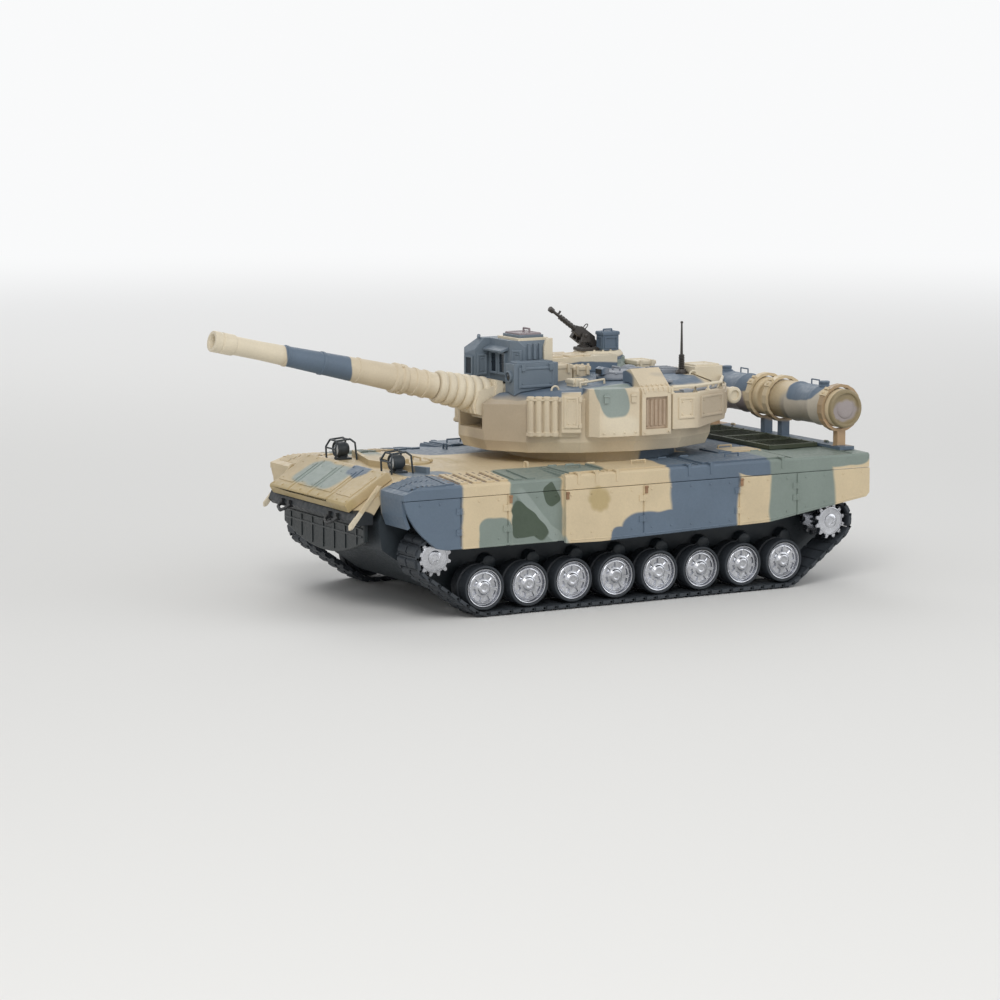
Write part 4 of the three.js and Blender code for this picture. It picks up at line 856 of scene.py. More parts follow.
# dark strips in the gaps between the fender slats: painted shade
@pair("hull", "dark_hull", material=slotShadowPaint)
def slatGaps():
    for x in fenderSetup["slatX"][:-1]:
        for y0, y1 in fenderSetup["bays"]:
            topStrip(x + 1.7, x + 2.9, y0, y1, 0.3, 0.3)


# dark brown strips in the gap behind each fender rib are painted shade; brown dashes also run along the rib tops
@pair("hull", "camo_hull", material=ribShadeAndDashBrown)
def fenderGaps():
    for x in fenderSetup["ribX"]:
        gap = x + fenderSetup["rib"]
        for y0, y1 in ((49.6, 53.6), (55, 58.8), (60.4, 64.2), (65.6, 69.2)):
            topStrip(gap - 0.2, gap + 0.9, y0, y1, 0.2, 0.12)
            topStrip(x + 1.3, x + 2.1, y0 + 0.6, y1 - 0.6, 0.86, 0.86)


@pair("hull", "camo_hull", edge=0.1)
def boxLidFittings():
    for x0, x1 in fenderSetup["lids"]:
        mid = (x0 + x1) / 2
        z = topAt(mid, 61) + 0.8
        handle(mid - 4, 61, mid + 4, 61, z, z + 1.7, 0.42)
        for x in (x0 + 3.5, x1 - 3.5):
            z = topAt(x, 73) + 0.2
            block(x - 1.1, x + 1.1, 72, 75, z, z + 0.9)
            block(x - 0.7, x + 0.7, 74.6, 75.7, z - 5, z + 0.6)
            z = topAt(x, 50) + 0.7
            rod((x - 2.4, 49.6, z), (x + 2.4, 49.6, z), 0.75, 10)
    for x in (57, 35.5, -19, -75, -112):
        topStrip(x - 0.5, x + 0.5, 48, 74, 0.5, 0.5)


# Side skirts: bolt rows, hinge plates, clasps and a lip along the lower edge

skirtSetup = {"frontY": 73, "boxY": 76, "topZ": 57.6, "lowZ": 38.6, "pitch": 11.2,
              "joints": (116, 90, 14.5, -42, -77)}


def skirtLowAt(x):
    if x > 39:
        return 34
    return 33.5 + (39 - x) * 2.5 / 100 if x > -61 else 36 + (-61 - x) * 9 / 59


@pair("hull", "camo_hull")
def skirtFasteners():
    for start, stop, y in ((63, 138, skirtSetup["frontY"]), (-117, 56, skirtSetup["boxY"])):
        count = round((stop - start) / skirtSetup["pitch"])
        for k in range(count + 1):
            x = start + (stop - start) * k / count
            if min(abs(x - joint) for joint in skirtSetup["joints"]) < 1.4:
                continue
            bolt((x, y, skirtSetup["topZ"]), left, 0.62, 0.3)
            if x < 121:
                bolt((x, y, max(skirtSetup["lowZ"], skirtLowAt(x) + 3.2)), left, 0.5, 0.25)
    for x in skirtSetup["joints"]:
        y = skirtSetup["frontY"] if x > 59 else skirtSetup["boxY"]
        for z in (53.4, 43.2 if x > -60 else 47.5):
            for side in bothSides:
                block(x + side * 0.35, x + side * 2.6, y - 0.2, y + 0.35, z - 1.5, z + 1.5)
                bolt((x + side * 1.5, y + 0.3, z), left, 0.36, 0.2)
            rod((x, y + 0.15, z - 1.6), (x, y + 0.15, z + 1.6), 0.5, 10)


@pair("hull", "camo_hull")
def skirtLip():
    for x0, x1, y in ((62, 89, 73), (91, 115, 73), (15.5, 56, 76), (-41, 13.5, 76), (-76, -43, 76), (-118, -78, 76)):
        steps = max(1, round((x1 - x0) / 12))
        line = [(x, y - 0.25, skirtLowAt(x) + 1.3) for x in (x0 + (x1 - x0) * k / steps for k in range(steps + 1))]
        for ends in zip(line, line[1:]):
            rod(*ends, 0.5, 8)


@pair("hull", "camo_hull", material=brownClasp, edge=0.1)
def skirtClasps():
    for x, y in ((58.2, 76), (88.4, 73), (13, 76), (-43.4, 76)):
        block(x - 0.8, x + 0.8, y - 0.3, y + 0.5, 55.6, 59.4)
        rod((x - 1, y + 0.4, 58.8), (x + 1, y + 0.4, 58.8), 0.5, 8)


print("fenders and skirts fitted")


# Bow: bolts and shackles on the armour plate, side ribs, lamps in guards, driver's periscopes, flap ribs

bowSetup = {"plate": (134, 0, 68), "slope": math.atan2(15.5, 25), "plateTop": 5.2, "lamp": (124, 30, 73.3),
            "lampRadius": 4}
plateTurn = Matrix.Translation(bowSetup["plate"]) @ Matrix.Rotation(bowSetup["slope"], 4, "Y")
lampTurn = turnAt(bowSetup["lamp"], *alongX)


@piece("hull", "camo_hull", material=platePaint, edge=0.08)
def platePanels():
    top = bowSetup["plateTop"]
    bolts((5.5, 28.5), (-40, -30, -10, 10, 30, 40), [top], up, 0.7, 0.35, plateTurn)
    for y0, y1 in ((-39, -24), (-18, -3), (3, 18), (24, 39)):
        block(8.5, 25.5, y0, y1, top - 0.2, top + 0.35, plateTurn)
        bolts((10.5, 23.5), (y0 + 2, y1 - 2), [top + 0.35], up, 0.4, 0.25, plateTurn)


@pair("hull", "camo_hull", material=bareSand, edge=0.2)
def bowRib():
    prism([(145.6, 64.6), (147.6, 65), (163.4, 46.4), (163.2, 44.2), (161.6, 44.6)], 46.6, 48, "y")
    bolt((162.3, 47.9, 45.6), left, 0.8, 0.5)
    bolt((149.5, 47.9, 61.7), left, 0.6, 0.4)


@pair("hull", "black_plastic")
def towShackles():
    for y in (22, 30):
        block(159, 162, y - 0.9, y + 0.9, 47, 50.4)
    rail([(161.2, 21, 48.6), (163.6, 22, 46.6), (164.4, 26, 45.2), (163.6, 30, 46.6), (161.2, 31, 48.6)], 0.85)


# Lamp: a bowl with its lens, on a foot, inside a wire guard
@pair("hull", "lamp_lens", ["headlamp_{side}"], material=finishes["dark_hull"], edge=0.1)
def headlampBowl():
    x, y, z = bowSetup["lamp"]
    r = bowSetup["lampRadius"]
    turned([(0, 0), (1.6, 0.1), (2.9, 0.8), (3.6, 2.2), (r - 0.15, 3.6), (r - 0.15, 6.2), (r, 6.4), (r, 7.3),
            (r - 0.5, 7.5), (r - 0.8, 6.9), (r - 1.1, 6.4), (0, 6.3)], lampTurn, 28)
    block(x + 1.6, x + 5.4, y - 1.6, y + 1.6, 68.1, z - r + 1)
    block(x - 0.5, x + 6.6, y - 3, y + 3, 68.05, 69)


@pair("hull", "lamp_lens")
def headlampGlass():
    turned([(3.1, 6.2), (3.1, 6.5), (2.6, 6.9), (1.6, 7.15), (0.7, 7.25), (0, 7.27)], lampTurn, 28, 14)


@pair("hull", "dark_hull")
def headlampGuard():
    x, y, z = bowSetup["lamp"]
    for side in bothSides:
        edge = y + side * 5.4
        inner = edge - side * 1.6
        rail([(x - 2, edge, 68), (x - 1, edge, z + 3.4), (x + 1, inner, z + 5.2), (x + 8.4, inner, z + 4.6),
              (x + 10, edge, z + 1), (x + 9.6, edge, 66.8)], 0.5)
    for along, half, rise in ((1.5, 3.9, 4.995), (8.2, 3.9, 4.526), (10, 5.4, 0.6)):
        rod((x + along, y - half, z + rise), (x + along, y + half, z + rise), 0.45, 8)


driverSetup = {"x": 104, "z": 69.2, "angles": (-38, 0, 38)}
driverTurns = [turnAt((driverSetup["x"], 0, 0), angle) for angle in driverSetup["angles"]]


@piece("hull", "camo_hull", edge=0.15)
def driverHatchFittings():
    x, z = driverSetup["x"], driverSetup["z"]
    for turn in driverTurns:
        prism([(11, 67.8), (15.6, 67.8), (15.2, 71), (14, 71.8), (11, 71.4)], -3.6, 3.6, "y", turn)
    handle(x - 3, -4, x - 3, 4, z, z + 1.6, 0.45)
    rod((x - 9.4, -4, 69), (x - 9.4, 4, 69), 0.9, 12)
    boltRing((x, 0, z + 0.1), up, 7, 8, 0.5, 0.5, 0.3)


# Glasses of the periscopes, and a painted shadow at the foot of the splash board
@piece("hull", "black_plastic", material=darkGlassAndShadow)
def driverGlassAndShadow():
    for turn in driverTurns:
        block(15.1, 15.62, -2.8, 2.8, 69, 70.8, turn)
    for side in bothSides:
        prism([(116.5, side * 39.5), (127.5, side), (126.5, side), (115.7, side * 39.3)], 68, 68.5, "z")


@piece("hull", "track_rubber", material=bowRubber)
def bowFlapRibs():
    for z, half in ((43.6, 42.5), (39.6, 42)):
        rod((153.4, -half, z), (153.4, half, z), 0.6, 8)
    bolts([153.4], range(-40, 41, 8), [44.9], ahead, 0.7, 0.5)
    for y in range(-36, 37, 12):
        block(153.2, 153.9, y - 0.6, y + 0.6, 29.6 + 8.4 * (y / 44) ** 2, 43)


print("bow fitted")


# Engine deck: a framed grille with slanted slats, deck lids and lifting eyes

grilleSetup = {"x0": -110, "x1": -80, "half": 46, "z0": 68.3, "z1": 70.4, "slats": 11}


@piece("hull", "dark_hull", ["engine_grille"], material=deckOlive, edge=0.08)
def slattedGrille():
    x0, x1, half, z0, z1, slats = grilleSetup.values()
    for low, high in ((x0, x0 + 2), (x1 - 2, x1)):
        block(low, high, -half, half, z0, z1)
    for low, high in ((-half, -half + 2.4), (-23.6, -22), (-1.6, 1.6), (22, 23.6), (half - 2.4, half)):
        block(x0 + 1.8, x1 - 1.8, low, high, z0, z1 - 0.05)
    pitch = (x1 - x0 - 4) / slats
    for k in range(slats):
        x = x0 + 2 + pitch * k
        prism([(x + 0.2, z0 + 0.1), (x + 0.8, z0 + 0.1), (x + pitch - 0.2, z1 - 0.35),
               (x + pitch - 0.8, z1 - 0.35)], -half + 2, half - 2, "y")
    bolts((x0 + 1, x1 - 1), range(-44, 45, 11), [z1], up, 0.5, 0.3)


@piece("hull", "camo_hull", edge=0.1)
def deckLids():
    for x0, x1, y0, y1 in ((-76, -50, 26, 44), (-76, -50, -44, -26)):
        block(x0, x1, y0, y1, 67.8, 68.7)
        handle(x0 + 9, y0 + 4, x0 + 17, y0 + 4, 68.6, 70, 0.42)
        bolts((x0 + 2, x1 - 2), (y0 + 2, y1 - 2), [68.7], up, 0.6, 0.35)
    for x, y in ((62, 42), (62, -42), (-117, 44), (-117, -44)):
        rail([(x, y - 1.8, 67.8), (x, y - 1.4, 70.4), (x, y + 1.4, 70.4), (x, y + 1.8, 67.8)], 0.6)
    boltRing((0, 0, 73.2), up, 41.5, 20, 0.5, 0.7, 0.2)


# Stern: bolted plate, exhaust louvres, lamp clusters and tow hooks

sternSetup = {"lampY": 58, "louvreY": (8, 34)}


@pair("hull", "dark_hull", edge=0.1)
def sternPanels():
    y0, y1 = sternSetup["louvreY"]
    block(-121.2, -119.9, y0, y1, 44, 58)
    for k in range(5):
        z = 45.8 + 2.4 * k
        prism([(-120.4, z), (-120.4, z + 1.7), (-121.7, z + 0.5), (-121.7, z)], y0 + 1.2, y1 - 1.2, "y")
    bolts([-120], range(4, 45, 8), (40, 30), astern, 0.8, 0.5)
    block(-121.6, -120, 38.5, 44.5, 30, 36)
    rail([(-120, 39.4, 34), (-124.6, 39.4, 33), (-125.8, 41.5, 31.6), (-124.6, 43.6, 33), (-120, 43.6, 34)], 0.9)


@pair("hull", "camo_hull", edge=0.12)
def sternEdge():
    bolts([-122], [4 + 8.2 * k for k in range(9)], [64.2], astern, 0.6, 0.35)
    block(-122.6, -121.4, 2, 70, 61, 62)
    block(-123, -121.5, sternSetup["lampY"] - 6, sternSetup["lampY"] + 6, 61.4, 66.2)


@pair("hull", "lamp_lens", material=tailRed)
def tailLamps():
    for side in bothSides:
        turned([(1.7, 0), (1.7, 0.7), (1.3, 1), (0.68, 1.15), (0, 1.2)],
               turnAt((-122.6, sternSetup["lampY"] + 3 * side, 63.8), -90, "Y"), 20)


# Hull side: swing arms behind the road wheels, with their bosses, and bolts round the sprocket housing
@pair("hull", "dark_hull", edge=0.15)
def swingArms():
    for axle in wheelSetup["axleX"]:
        a = Vector((axle, 0, wheelSetup["axleZ"]))
        b = a + Vector((-11.5, 0, 9.5))
        along = (b - a).normalized()
        side = Vector((-along.z, 0, along.x))
        corners = [a + side * 2.6, b + side * 3.2, b + along * 2.6, b - side * 3.2, a - side * 2.6, a - along * 2.2]
        prism([(p.x, p.z) for p in corners], 47.2, 51, "y")
        turned([(4.4, 46.2), (4.4, 48.6), (3.6, 51.4), (2.4, 51.9), (0, 51.9)], turnAt(b, *alongY), 20)
    x, z = toothedSetup["sprocket"]
    boltRing((x, 46.4, z), left, 8.6, 12, 0, 0.6, 0.5)


print("engine deck, stern and swing arms fitted")


# Turret roof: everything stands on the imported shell, found by dropping a line onto it

bpy.context.view_layer.update()
roofNodes = ("turret_shell", "commander_cupola", "gunner_hatch", "side_stowage_left", "side_stowage_right")
roofSkins = [BVHTree.FromPolygons([nodes[name].matrix_world @ vert.co for vert in nodes[name].data.vertices],
                                  [tuple(face.vertices) for face in nodes[name].data.polygons])
             for name in roofNodes]
toModel = toFrame.inverted()


# A place on the roof whose local z stands square to it
def roofPlace(x, y):
    drops = [skin.ray_cast(toFrame @ Vector((x, y, 200)), Vector((0, 0, -1)))[:2] for skin in roofSkins]
    spot, normal = max((drop for drop in drops if drop[0]), key=lambda drop: drop[0].z)
    turn = normal.to_track_quat("Z", "Y").to_matrix().to_4x4()
    flat = turn.inverted() @ (Vector(ahead) - normal * normal.x)
    return Matrix.Translation(toModel @ spot) @ turn @ Matrix.Rotation(math.atan2(flat.y, flat.x), 4, "Z")


def roofSpot(x, y, rise=0.0):
    return roofPlace(x, y) @ Vector((0, 0, rise))


sightSetup = {
    "frontX": 52, "windowY": (-7.0, 1.4), "windowZ": 115.6, "window": (6.4, 10.4),
    "tip": ((61.1, -17.4, 113.4), (7, 2, 0)), "tipFlank": ((56, -13.4, 114), (1.2, 8, 0)),
    "chamfer": ((49.5, 11, 116), (6, 5, 0)), "boxFace": ((44.7, 22, 110), left), "eye": ((57.5, 17.6, 110.5), ahead),
}


@piece("turret", "slate_paint", edge=0.15)
def sightFittings():
    setup = sightSetup
    for y in setup["windowY"]:
        bars(faceAt((setup["frontX"], y, setup["windowZ"]), ahead), *setup["window"], 1.1, 1.3)
    prism([(51.5, 122.6), (56.2, 121.4), (56.4, 122.3), (51.5, 124.3)], -12.2, 6.6, "y")
    bars(faceAt(*setup["tip"]), 4.8, 9.0, 1.0, 1.0)
    for face, *size in (("tipFlank", 5.6, 11, 0.8), ("chamfer", 5.6, 14, 0.9), ("boxFace", 20.5, 10.5, 0.9)):
        lid(faceAt(*setup[face]), *size)
    lid(turnAt((45.2, 18.2, 117)), 21, 6.2, 0.9)
    for x in (36.5, 52.5):
        rod((x - 2.4, 14.6, 117.4), (x + 2.4, 14.6, 117.4), 0.75)
        block(x - 1.1, x + 1.1, 21.6, 23.3, 113.4, 116.6)
    for x in (38.2, 41.4, 44.6):
        block(x - 0.75, x + 0.75, 13.6, 15.1, 118.2, 126.2)
    for place in ((34, -24, 127.5), (52, -24, 127.5), (34, -13, 127.5), (56, -17, 127.5)):
        bolt(place, up, 0.9, 0.8)
    turned([(3.1, -0.3), (3.1, 1.0), (2.3, 1.4), (2.3, 0.6)], faceAt(*setup["eye"]), 24)


@piece("turret", "lamp_lens", material=darkGlassAndShadow, edge=0.15)
def sightGlass():
    for y in sightSetup["windowY"]:
        block(51.8, 52.5, y - 2.7, y + 2.7, 110.8, 120.4)
        block(52.3, 52.8, y - 2.6, y + 2.6, 115.2, 115.9)
    block(-1.9, 1.9, -4.0, 4.0, -0.3, 0.45, faceAt(*sightSetup["tip"]))
    turned([(2.2, -0.2), (2.2, 0.7), (1.2, 1.05), (0, 1.15)], faceAt(*sightSetup["eye"]), 20)


@piece("turret", "camo_turret", material=paleTrim, edge=0.15)
def sightRim():
    bars(turnAt((40.2, 0.5, 127.5)), 15.8, 19.6, 1.6, 1.2)
    prism([(31.3, 117.2), (36.2, 117.2), (36.2, 124), (34.6, 128.6), (31.3, 128.6)], 13.6, 15.4, "y")
    prism([(-9.8, 127.2), (-22, 127.2), (-24.5, 128.3), (-9.8, 128.9)], 31.4, 34, "x")
    for y in (-8, 0.5, 9):
        block(30.4, 31.5, y - 2.6, y + 2.6, 113, 125)


@piece("turret", "camo_turret", material=mauveTrim, edge=0.15)
def sightCap():
    lid(turnAt((40, 0.5, 130)), 12.4, 15.2, 1.0)
    handle(38, -2.5, 38, 3.5, 130.4, 132.6, 0.55)


cupolaSetup = {"place": (-20, -26, 0), "scopes": (-60, -30, 0, 30, 60), "deck": 109, "top": 117}


def cupolaTurn(angle):
    return turnAt(cupolaSetup["place"], angle)


@piece("turret", "camo_turret", edge=0.12)
def cupolaFittings():
    for angle in cupolaSetup["scopes"]:
        prism([(11.4, 114.2), (15.7, 114.2), (15.9, 114.7), (11.4, 115.6)], -2.5, 2.5, "y", cupolaTurn(angle))
    for k in range(8):
        turn = cupolaTurn(85 + 27 * k)
        bolt((14.2, 0, cupolaSetup["deck"]), up, 0.6, 0.6, turn)
        block(13.2, 14.3, -1.6, 1.6, 110.6, 113.6, turn)
    for angle in (50, 75, 100, 125, 235, 260, 285, 310):
        bolt((10.4, 0, cupolaSetup["top"]), up, 0.65, 0.6, cupolaTurn(angle))
    handle(-31, -32, -31, -25, 116.8, 119.2, 0.6)


@piece("turret", "lamp_lens", material=darkGlassAndShadow)
def periscopeGlasses():
    for angle in cupolaSetup["scopes"]:
        block(14.8, 15.3, -1.8, 1.8, 111.6, 113.9, cupolaTurn(angle))
    block(9.2, 9.65, 21.3, 26.7, 110.2, 112.4)


@piece("turret", "camo_turret", material=paleTrim, edge=0.12)
def frontBaseFittings():
    for x, long in ((18, 14), (2, 13)):
        lid(roofPlace(x, -14.5), long, 12.5, 1.1)
    for x in (-2.5, 6.5):
        rod(roofSpot(x - 2, -7.4, 0.3), roofSpot(x + 2, -7.4, 0.3), 0.7)
    for k in range(8):
        x = -3 + 3.4 * k
        prism([(-6.3, 109.4), (-4.9, 109.6), (-6.3, 113)], x, x + 1.5, "x")
    rail([roofSpot(x, -14.5, rise) for x, rise in ((15, 0.6), (15, 2.6), (21, 2.6), (21, 0.6))], 0.5)


@piece("turret", "slate_paint", edge=0.15)
def hatchFittings():
    turned([(9.9, -0.4), (9.9, 0.5), (9.2, 0.9), (6.4, 1.2), (6.1, 0.8), (0, 1.1)], turnAt((-4, 24, 110.5)), 32)
    boltRing((-4, 24, 110.5), up, 11.4, 12, 0.5, 0.6, 0.5)
    rod((-16.4, 19.4, 111.2), (-16.4, 28.6, 111.2), 1.0)
    for y in (20.6, 27.4):
        block(-17, -9.5, y - 1, y + 1, 110.2, 111.9)
    handle(-1, 20.5, -1, 27.5, 111.4, 113, 0.6)
    prism([(5.2, 110.2), (9.4, 109.8), (9.4, 112.6), (7.6, 113.6), (5.2, 113.2)], 20.6, 27.4, "y")


# Stowage on the roof: (x, y, length, width, height)
roofBoxes = [(22, 2.4, 13.5, 13, 8.2), (8.5, 1.6, 10.5, 9.5, 5.2), (-39, -15, 12, 14, 4.6), (24, 27, 9, 8, 3.2)]
roofLids = [(-42, 5, 14, 17, 1.8), (-22, 2, 11, 11, 1.2)]


@piece("turret", "camo_turret", material=paleTrim, edge=0.2)
def roofStowage():
    for x, y, long, wide, tall in roofBoxes:
        place = turnAt(roofSpot(x, y) + Vector((0, 0, tall - 1.6)))
        block(-long / 2 + 0.5, long / 2 - 0.5, -wide / 2 + 0.5, wide / 2 - 0.5, -tall - 0.6, 0, place)
        lid(place, long, wide, 1.6, 1.4, 0.45)
        for side in (-0.28, 0.28):
            block(side * long - 0.7, side * long + 0.7, wide / 2 - 0.6, wide / 2 + 0.7, -2.6, 1.9, place)
    rail([roofSpot(x, 35.5, rise) for x, rise in ((27, -0.4), (27, 2.2), (13, 2.2), (13, -0.4))], 0.6)
    for x, y in ((39, 31), (40, -32), (-46, 26)):
        rail([roofSpot(x, y) + Vector((2.2 * math.cos(a), 0, 2.4 * math.sin(a) - 0.3))
              for a in (math.radians(30 * k) for k in range(7))], 0.55)


@piece("turret", "slate_paint", material=mistTrim, edge=0.15)
def roofVents():
    for x, y, long, wide, tall in roofLids:
        lid(roofPlace(x, y), long, wide, tall, 1.3, 0.5)
    for k in range(5):
        block(-5.2, 5.2, -6.4 + 2.9 * k, -5.2 + 2.9 * k, 1.2, 2.3, roofPlace(-42, 5))
    turned([(4.6, 0.6), (4.6, 1.6), (3.8, 2.8), (2.2, 3.6), (0, 3.9)], roofPlace(-22, 2), 28)
    for x, y in ((-14, 45), (-30, -44), (4, -36)):
        lid(roofPlace(x, y), 11, 7.5, 0.9, 1.1, 0.4)


print("turret roof fitted")


# Basket behind the turret, its rail and floor slats, and the wading tube's straps

basketSetup = {"outline": [(-14, 59), (-28, 59), (-50, 49.5), (-65, 28), (-68, 22)], "top": 102, "railZ": 105.2}
tubeTurn = turnAt((-72.1, 0, 95), *alongY)


def basketLine(scale, z):
    near = [(x * scale, y * scale, z) for x, y in basketSetup["outline"]]
    return near + [(x, -y, z) for x, y, z in reversed(near)]


@piece("turret", "camo_turret", material=paleTrim)
def basketRail():
    top, railZ = basketSetup["top"], basketSetup["railZ"]
    line = basketLine(0.97, railZ)
    rail(line, 0.8)
    for a, b in zip(line, line[1:]):
        count = max(1, round(math.dist(a, b) / 12))
        for k in range(count + 1):
            x, y = Vector(a[:2]).lerp(Vector(b[:2]), k / count)
            rod((x, y, top - 0.4), (x, y, railZ), 0.65, 10)
            turned([(1.3, -0.2), (1.3, 0.5), (0.7, 0.9)], turnAt((x, y, top)), 12)


@piece("turret", "camo_turret", edge=0.15)
def basketPanels():
    line = [Vector(point) for point in basketLine(1, 0)]
    for a, b in zip(line, line[1:]):
        along = (b - a).normalized()
        outward = Vector((-along.y, along.x, 0))
        if outward.dot(a + b) < 0:
            outward.negate()
        wide = (b - a).length
        if wide < 10:
            continue
        tall, lift = (7.5, 96.3) if abs(outward.x) > 0.95 else (11, 94.6)
        for side in (bothSides if wide > 30 else (0,)):
            spot = (a + b) / 2 + along * (side * wide / 4)
            lid(faceAt((spot.x, spot.y, lift), outward), (wide / 2 if side else wide) - 4.5, tall, 0.7)
    lid(turnAt((-55.5, 18, 111)), 14.5, 13.5, 1.0)


@piece("turret", "slate_paint", material=mistTrim, edge=0.1)
def basketSlats():
    top = basketSetup["top"]
    for scale in (0.93, 0.89, 0.85):
        rail(basketLine(scale, top + 0.2), 0.7)
    for x, y in ((-58, -34), (-60, 0), (-40, -46), (-24, 53.5), (-24, -53.5)):
        block(x - 3.4, x + 3.4, y - 3.6, y + 3.6, top - 0.4, top + 1.3)


@piece("turret", "camo_turret", material=brownClasp)
def wadingStraps():
    for y in (-12.5, 11.5):
        turned([(3.9, y - 2.1), (4.35, y - 1.8), (4.35, y + 1.8), (3.9, y + 2.1)], tubeTurn, 28)


@piece("turret", "camo_turret", material=paleTrim)
def wadingCaps():
    turned([(3.7, 22.6), (4.3, 22.8), (4.3, 25), (3.5, 25.6), (2.6, 25.6), (2.4, 24.6), (0, 24.6)], tubeTurn, 28)
    turned([(0, -29.6), (2.4, -29.6), (2.6, -30.6), (3.5, -30.6), (4.3, -30), (4.3, -27.8), (3.7, -27.6)],
           tubeTurn, 28)


# Launcher tubes and the stowage bins on the turret's flanks

launcherTurn = turnAt((57, 33, 0), 148.7)
binFront, binRear = Vector((28, 56, 0)), Vector((7, 59.5, 0))


@pair("turret", "camo_turret", material=panelTan, edge=0.1)
def binGrille():
    block(-9.9, 2.9, 57.1, 57.8, 85.1, 100.9)
    for k in range(5):
        prism([(57.6, 86), (58.5, 86.8), (58.5, 99.2), (57.6, 100)], -8.9 + 2.5 * k, -7.7 + 2.5 * k, "x")


@pair("turret", "camo_turret", edge=0.12)
def launcherFittings():
    for k in range(4):
        tube = launcherTurn @ turnAt((2.5 + 4 * k, -3.6, 0))
        turned([(1.6, 100.6), (2.1, 100.8), (2.1, 102), (1.5, 102.4), (1.2, 101.6), (0, 101.6)], tube, 20)
        turned([(1.5, 82.2), (2.1, 82.6), (2.1, 84.6), (1.7, 85)], tube, 20)
    for z, rise in ((82.8, 1.5), (100.2, 0.9)):
        block(0.3, 15.8, -5.2, -2.4, z, z + rise, launcherTurn)
    lid(launcherTurn @ turnAt((22.6, -5, 94.6), 90, "X"), 7.4, 16, 0.8)
    for z in (88, 101):
        block(26.4, 27.9, -5.7, -3.2, z - 1.2, z + 1.2, launcherTurn)


@pair("turret", "camo_turret", edge=0.1)
def binFittings():
    bolts((-10.6, 3.8), [59.4], (83.4, 103.4), left, 0.6, 0.5)
    for k in range(6):
        x = -10.6 + 2.9 * k
        bolt((0, 0, 0), up, 0.75, 0.9, roofPlace(x, 56.6))
        block(x - 1, x + 0.6, 58.2, 59.6, 103.8, 105.6)
    along = (binRear - binFront).normalized()
    outward = Vector((along.y, -along.x, 0))
    for share in (0.16, 0.84):
        spot = binFront.lerp(binRear, share)
        turn = faceAt((spot.x, spot.y, 101.2), outward)
        block(-1.2, 1.2, -2.2, 2.2, -0.5, 0.9, turn)
        rail([(-1.5, 1.2, 0.8), (1.5, 1.2, 0.8)], 0.55, 10, turn)
    for share in (0.1, 0.37, 0.63, 0.9):
        spot = binFront.lerp(binRear, share)
        bolt((spot.x, spot.y, 84), outward, 0.55, 0.5)


print("basket, launchers and bins fitted")


# Machine gun on its pintle, ammunition box and whip aerial

weaponPost = (-11, -25.5)
weaponTurn = turnAt((*weaponPost, 124.8), -36, "Y")


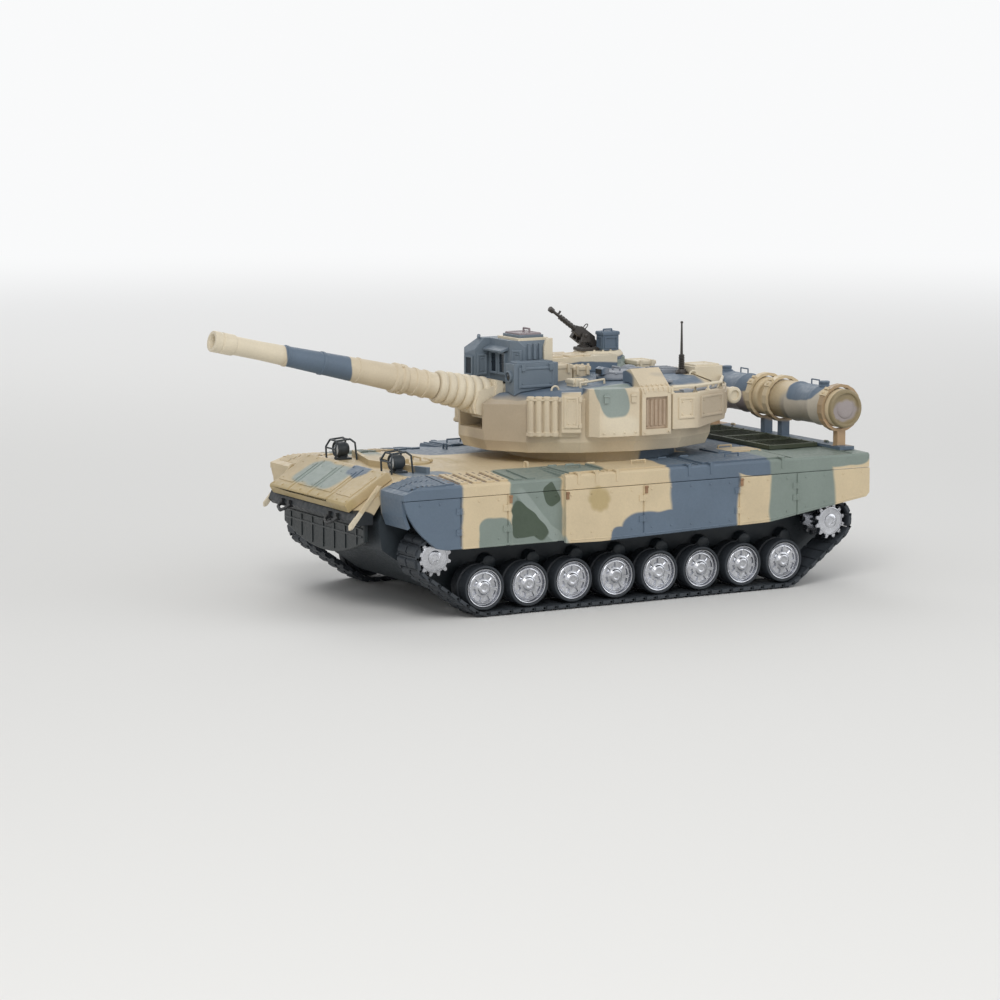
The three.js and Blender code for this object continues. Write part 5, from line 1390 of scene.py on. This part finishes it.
@piece("turret", "black_plastic", ["machine_gun"], material=gunMetal, edge=0.12)
def machineGun():
    x, y = weaponPost
    lid(turnAt((x - 4, y + 1, 117.6)), 15.6, 9.6, 1.3)
    turned([(3.2, 118.4), (3.2, 119.6), (2.1, 120), (2.1, 121.6), (2.6, 121.8), (2.6, 122.4)], turnAt((x, y, 0)), 20)
    for side in bothSides:
        cheek = y + side * 2.6
        prism([(x - 3, 121.4), (x + 3, 121.4), (x + 2, 126), (x - 1.6, 126)], cheek - 0.5, cheek + 0.5, "y")
        bolt((x, y + side * 3, 124.8), (0, side, 0), 1.0, 0.7)
    block(-8.5, 6.5, -1.7, 1.7, -2.1, 1.9, weaponTurn)
    prism([(-6.8, 1.8), (5.4, 1.8), (4, 3.1), (-5.6, 3.1)], -1.4, 1.4, "y", weaponTurn)
    block(-2, 3, -4.6, -1.5, -0.8, 0.9, weaponTurn)
    along = weaponTurn @ turnAt((0, 0, 0), *alongX)
    jacket = [(1.0, 6.3), (1.5, 6.5)]
    for k in range(5):
        jacket += [(1.5, 7.9 + 2 * k), (1.15, 8.1 + 2 * k), (1.15, 8.7 + 2 * k), (1.5, 8.9 + 2 * k)]
    turned(jacket + [(1.5, 17.4), (0.8, 17.8)], along, 18)
    rail([(17, 0, 0), (25, 0, 0)], 0.8, 14, weaponTurn)
    turned([(0.8, 22), (1.35, 22.4), (1.5, 24.8), (1.2, 25.2), (0.6, 25.2)], along, 16)
    block(18.4, 19.4, -0.3, 0.3, 0.5, 2.6, weaponTurn)
    for side in bothSides:
        rail([(-8.2, side, 0.6), (-11, side * 1.6, 0.6), (-11, side * 1.6, -2.6)], 0.55, turn=weaponTurn)
    ring = [(1.5, 1.5 * math.sin(a), 4.6 - 1.5 * math.cos(a)) for a in (math.radians(30 * k) for k in range(13))]
    rail(ring, 0.3, 6, weaponTurn)
    block(-4, 2.6, -7.4, -4.4, -3.4, 1.6, weaponTurn)


@piece("turret", "slate_paint", edge=0.2)
def ammoBox():
    box = turnAt((-22, -19.2, 117))
    block(-4.7, 4.7, -3.4, 3.4, 0.2, 8.4, box)
    lid(box @ turnAt((0, 0, 8.6)), 10.2, 7.8, 1.5, 1.0, 0)
    bars(box @ faceAt((0, 3.4, 4.3), left), 7.0, 5.4, 0.7, 0.5)
    bars(box @ faceAt((4.7, 0, 4.3), ahead), 4.6, 5.4, 0.7, 0.5)
    handle(-24.5, -19.2, -19.5, -19.2, 126.6, 128, 0.45)


@piece("turret", "black_plastic", ["aerial"], material=gunMetal)
def whipAerial():
    x, y, tip = -44, 18, 133.4
    foot = roofPlace(x, y).translation.z
    place = turnAt((x, y, foot))
    spring = [(0.9, 2.4)]
    for k in range(7):
        spring += [(1.7, 2.9 + 0.9 * k), (1.3, 3.35 + 0.9 * k)]
    turned([(3.2, -1.5), (3.2, 0.7), (2.6, 1.2), (2.2, 2.2), (1.6, 2.5)], place, 24)
    turned(spring + [(1.6, 9.4), (0.9, 10)], place, 18)
    rod((x, y, foot + 9), (x, y, tip), 0.75, 12, 0.42)
    bead = bmesh.ops.create_icosphere(work, subdivisions=2, radius=0.75)
    bmesh.ops.translate(work, vec=Vector((x, y, tip)), verts=bead["verts"])
    boltRing((x, y, foot + 0.9), up, 2.7, 4, 0.5, 0.45, 0.5)


print("machine gun and aerial built")
